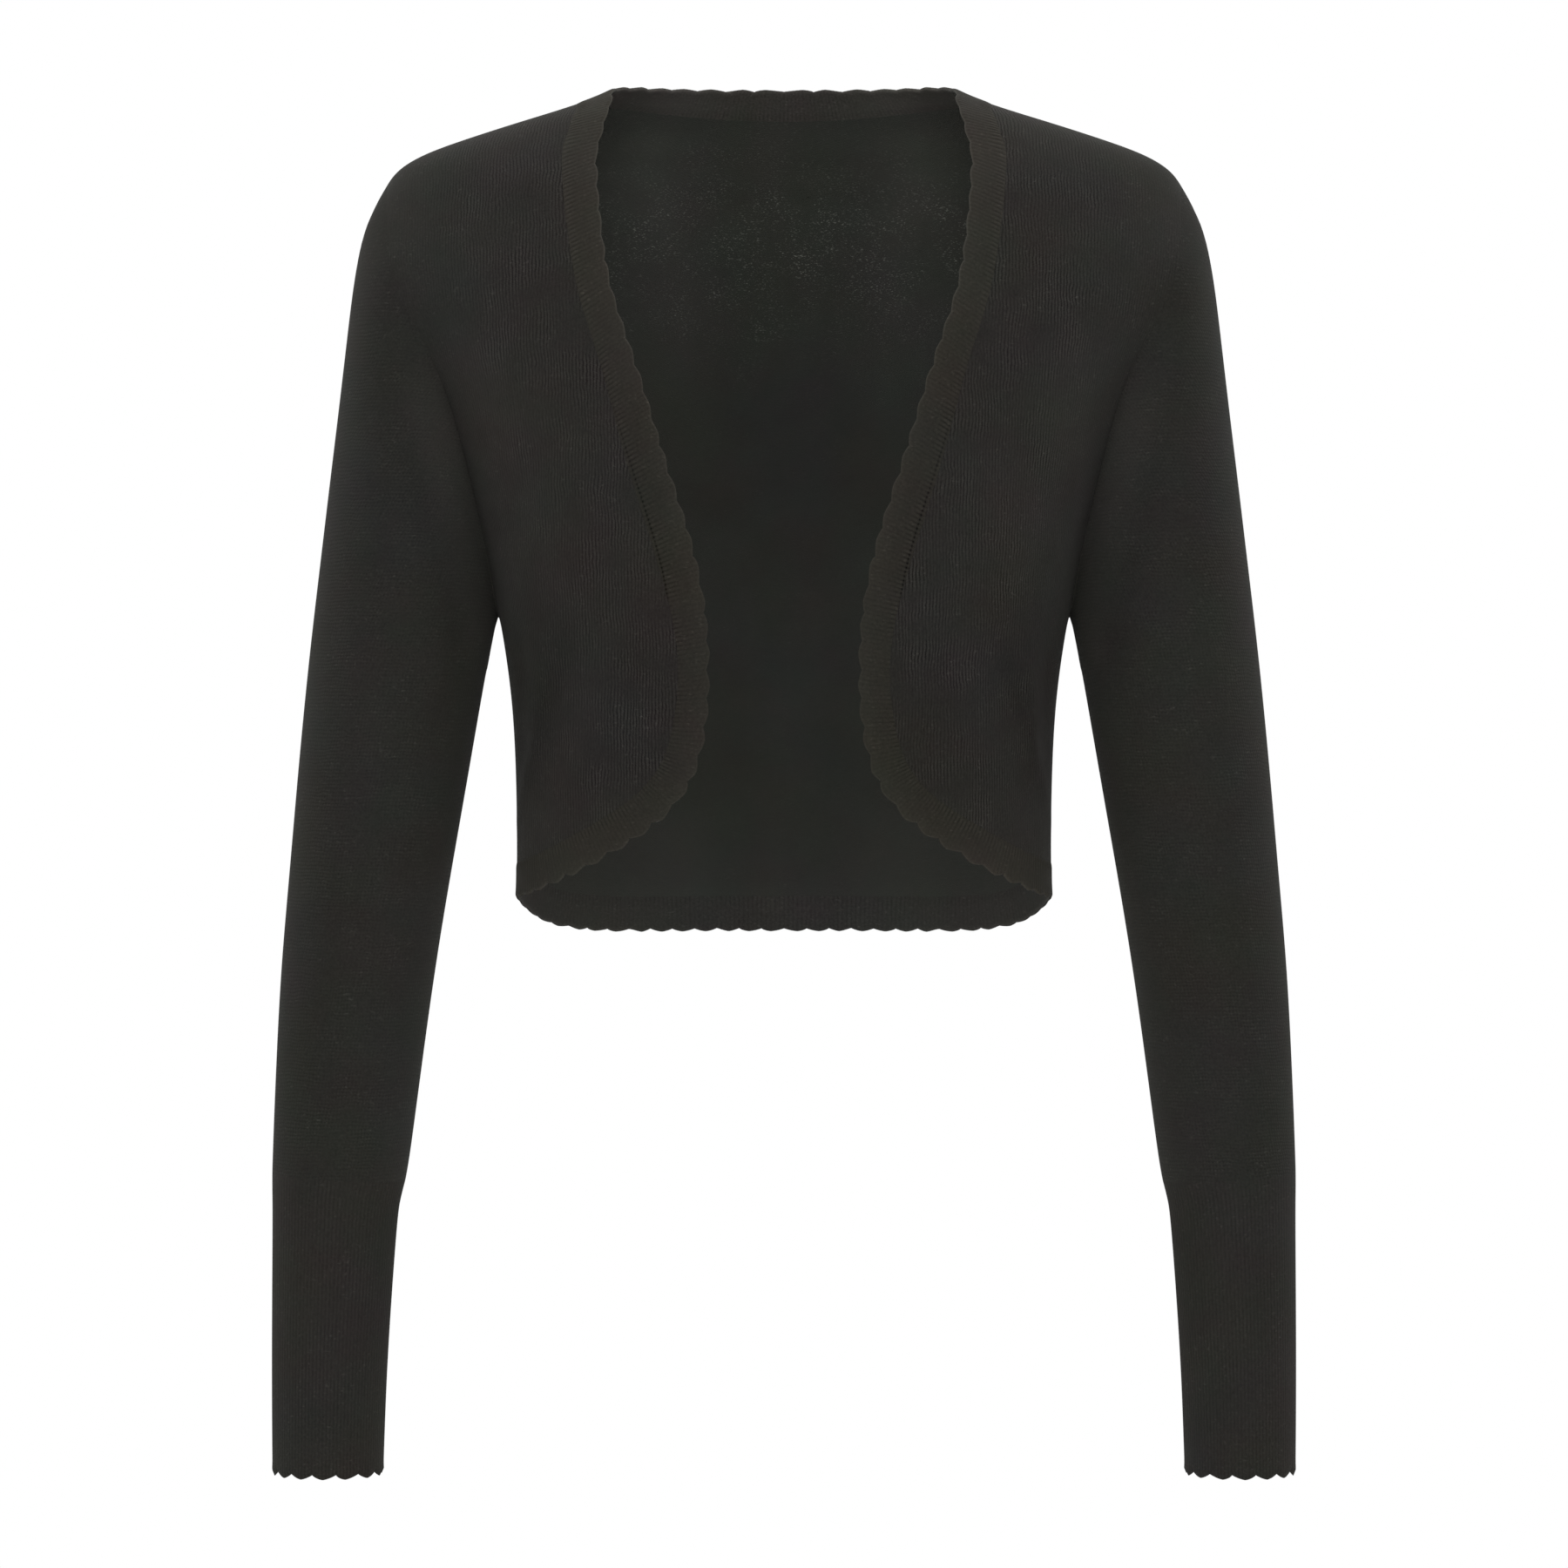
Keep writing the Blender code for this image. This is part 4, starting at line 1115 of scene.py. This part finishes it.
# Painted light in the ribs: a painted highlight and painted light along the bands' free edges, a painted
# highlight along the cuffs' edges, painted light towards the sides on the bands and insides, and painted
# light beside the seams on the insides.
rib = rib_material("band_rib", BAND, 0.35, edge=0.5, painted_edge_light=0.2, seam=0.7, strip=0.8, sides=(0.06, 0.115, 0.25))
neck_inside_painted_light = rib_material("neck_band_inside_painted_light", NECK_INSIDE_PAINTED_LIGHT, 0.3, strip=0.3, sides=(0.015, 0.065, 0.6))
cuff_rib = rib_material("cuff_rib", CUFF_TONE, 0.5, edge=0.4, sheen=0.015)
rib_inside = rib_material("rib_inside", HEM_INSIDE, 0.4, strip=0.3, sides=(0.015, 0.1, 0.75), linked=0.1)

fronts = add_pair("front", *front_grids(front_outline, seam_shoulder, seam_side))
dress_pair(fronts, "front", "knit", plain, purl, (0.165, 0.365), 0.040)

outer, inner, fabric = back_grids(back_outline, seam_shoulder, seam_side)
back = add_shell("back_knit", whole(outer), whole(inner), whole_map(fabric))
dress(back, "back", "knit", plain, purl, (0.420, 0.400), 0.138)

sleeves = add_pair("sleeve", *sleeve_grids(), ring=True)
dress_pair(sleeves, "sleeve", "knit", arm, purl, (0.280, 0.465), 0.095)

cuffs = add_pair("cuff", *cuff_grids(5), ring=True, free=True)
dress_pair(cuffs, "cuff", "rib_knit", cuff_rib, rib_inside, (0.185, 0.141), 0.025, "stretched")

grids = band_grids((edge_shoulder, edge_side), (seam_shoulder, seam_side), FRONT_SCALLOPS, FRONT_RIBS, 3)
front_bands = add_pair("band_front", *grids, free=True)
dress_pair(front_bands, "band_front", "rib_knit", rib, rib_inside, (0.0165, 0.480), 0.0079)

outer, inner, fabric = band_grids(
    (edge_shoulder, 0), (seam_shoulder, 0), NECK_SCALLOPS, NECK_RIBS, 7, last_open=False)
band_neck = add_shell("band_neck_knit", whole(outer), whole(inner), whole_map(fabric), free=True)
dress(band_neck, "band_neck", "rib_knit", rib, neck_inside_painted_light, (0.0175, 0.220), 0.0037)

outer, inner, fabric = band_grids(
    (edge_side, centre_hem), (seam_side, centre_hem), HEM_SCALLOPS, HEM_RIBS, 11, last_open=False)
band_hem = add_shell("band_hem_knit", whole(outer), whole(inner), whole_map(fabric), free=True)
dress(band_hem, "band_hem", "rib_knit", rib, rib_inside, (0.017, 0.325), 0.0053)

# Stage, light and camera

bpy.ops.mesh.primitive_circle_add(
    vertices=96, radius=FLOOR_RADIUS, fill_type="NGON", location=(0, 0, FLOOR_LEVEL))
floor = bpy.context.object
floor.name = "floor"
floor.data.materials.append(floor_material())

world = bpy.data.worlds.new("studio")
bpy.context.scene.world = world
world.use_nodes = True
background = world.node_tree.nodes["Background"].inputs
background["Color"].default_value = (1.0, 1.0, 1.0, 1.0)
background["Strength"].default_value = 1.0


def add_light(name, location, target, size, power):
    light = bpy.data.lights.new(name, "AREA")
    light.shape = "RECTANGLE"
    light.size, light.size_y = size
    light.energy = power
    lamp = bpy.data.objects.new(name, light)
    lamp.location = location
    lamp.rotation_euler = (Vector(target) - Vector(location)).to_track_quat("-Z", "Y").to_euler()
    bpy.context.scene.collection.objects.link(lamp)


add_light("front_softbox", (0.0, -3.3, 1.3), (0, 0, -0.3), (1.8, 1.4), 100)
for side in (-1, 1):
    add_light(f"side_softbox_{side}", (side * 1.5, 0.6, 1.2), (side * 0.2, 0, -0.1), (0.5, 1.2), 40)

camera_data = bpy.data.cameras.new("camera")
camera_data.sensor_width = SENSOR
camera_data.lens = LENS
camera = bpy.data.objects.new("camera", camera_data)
camera.location = (0.0, -VIEW_DISTANCE, VIEW_LEVEL)
camera.rotation_euler = (pi / 2, 0.0, 0.0)
bpy.context.scene.collection.objects.link(camera)
bpy.context.scene.camera = camera
bpy.context.scene.view_settings.view_transform = "Standard"
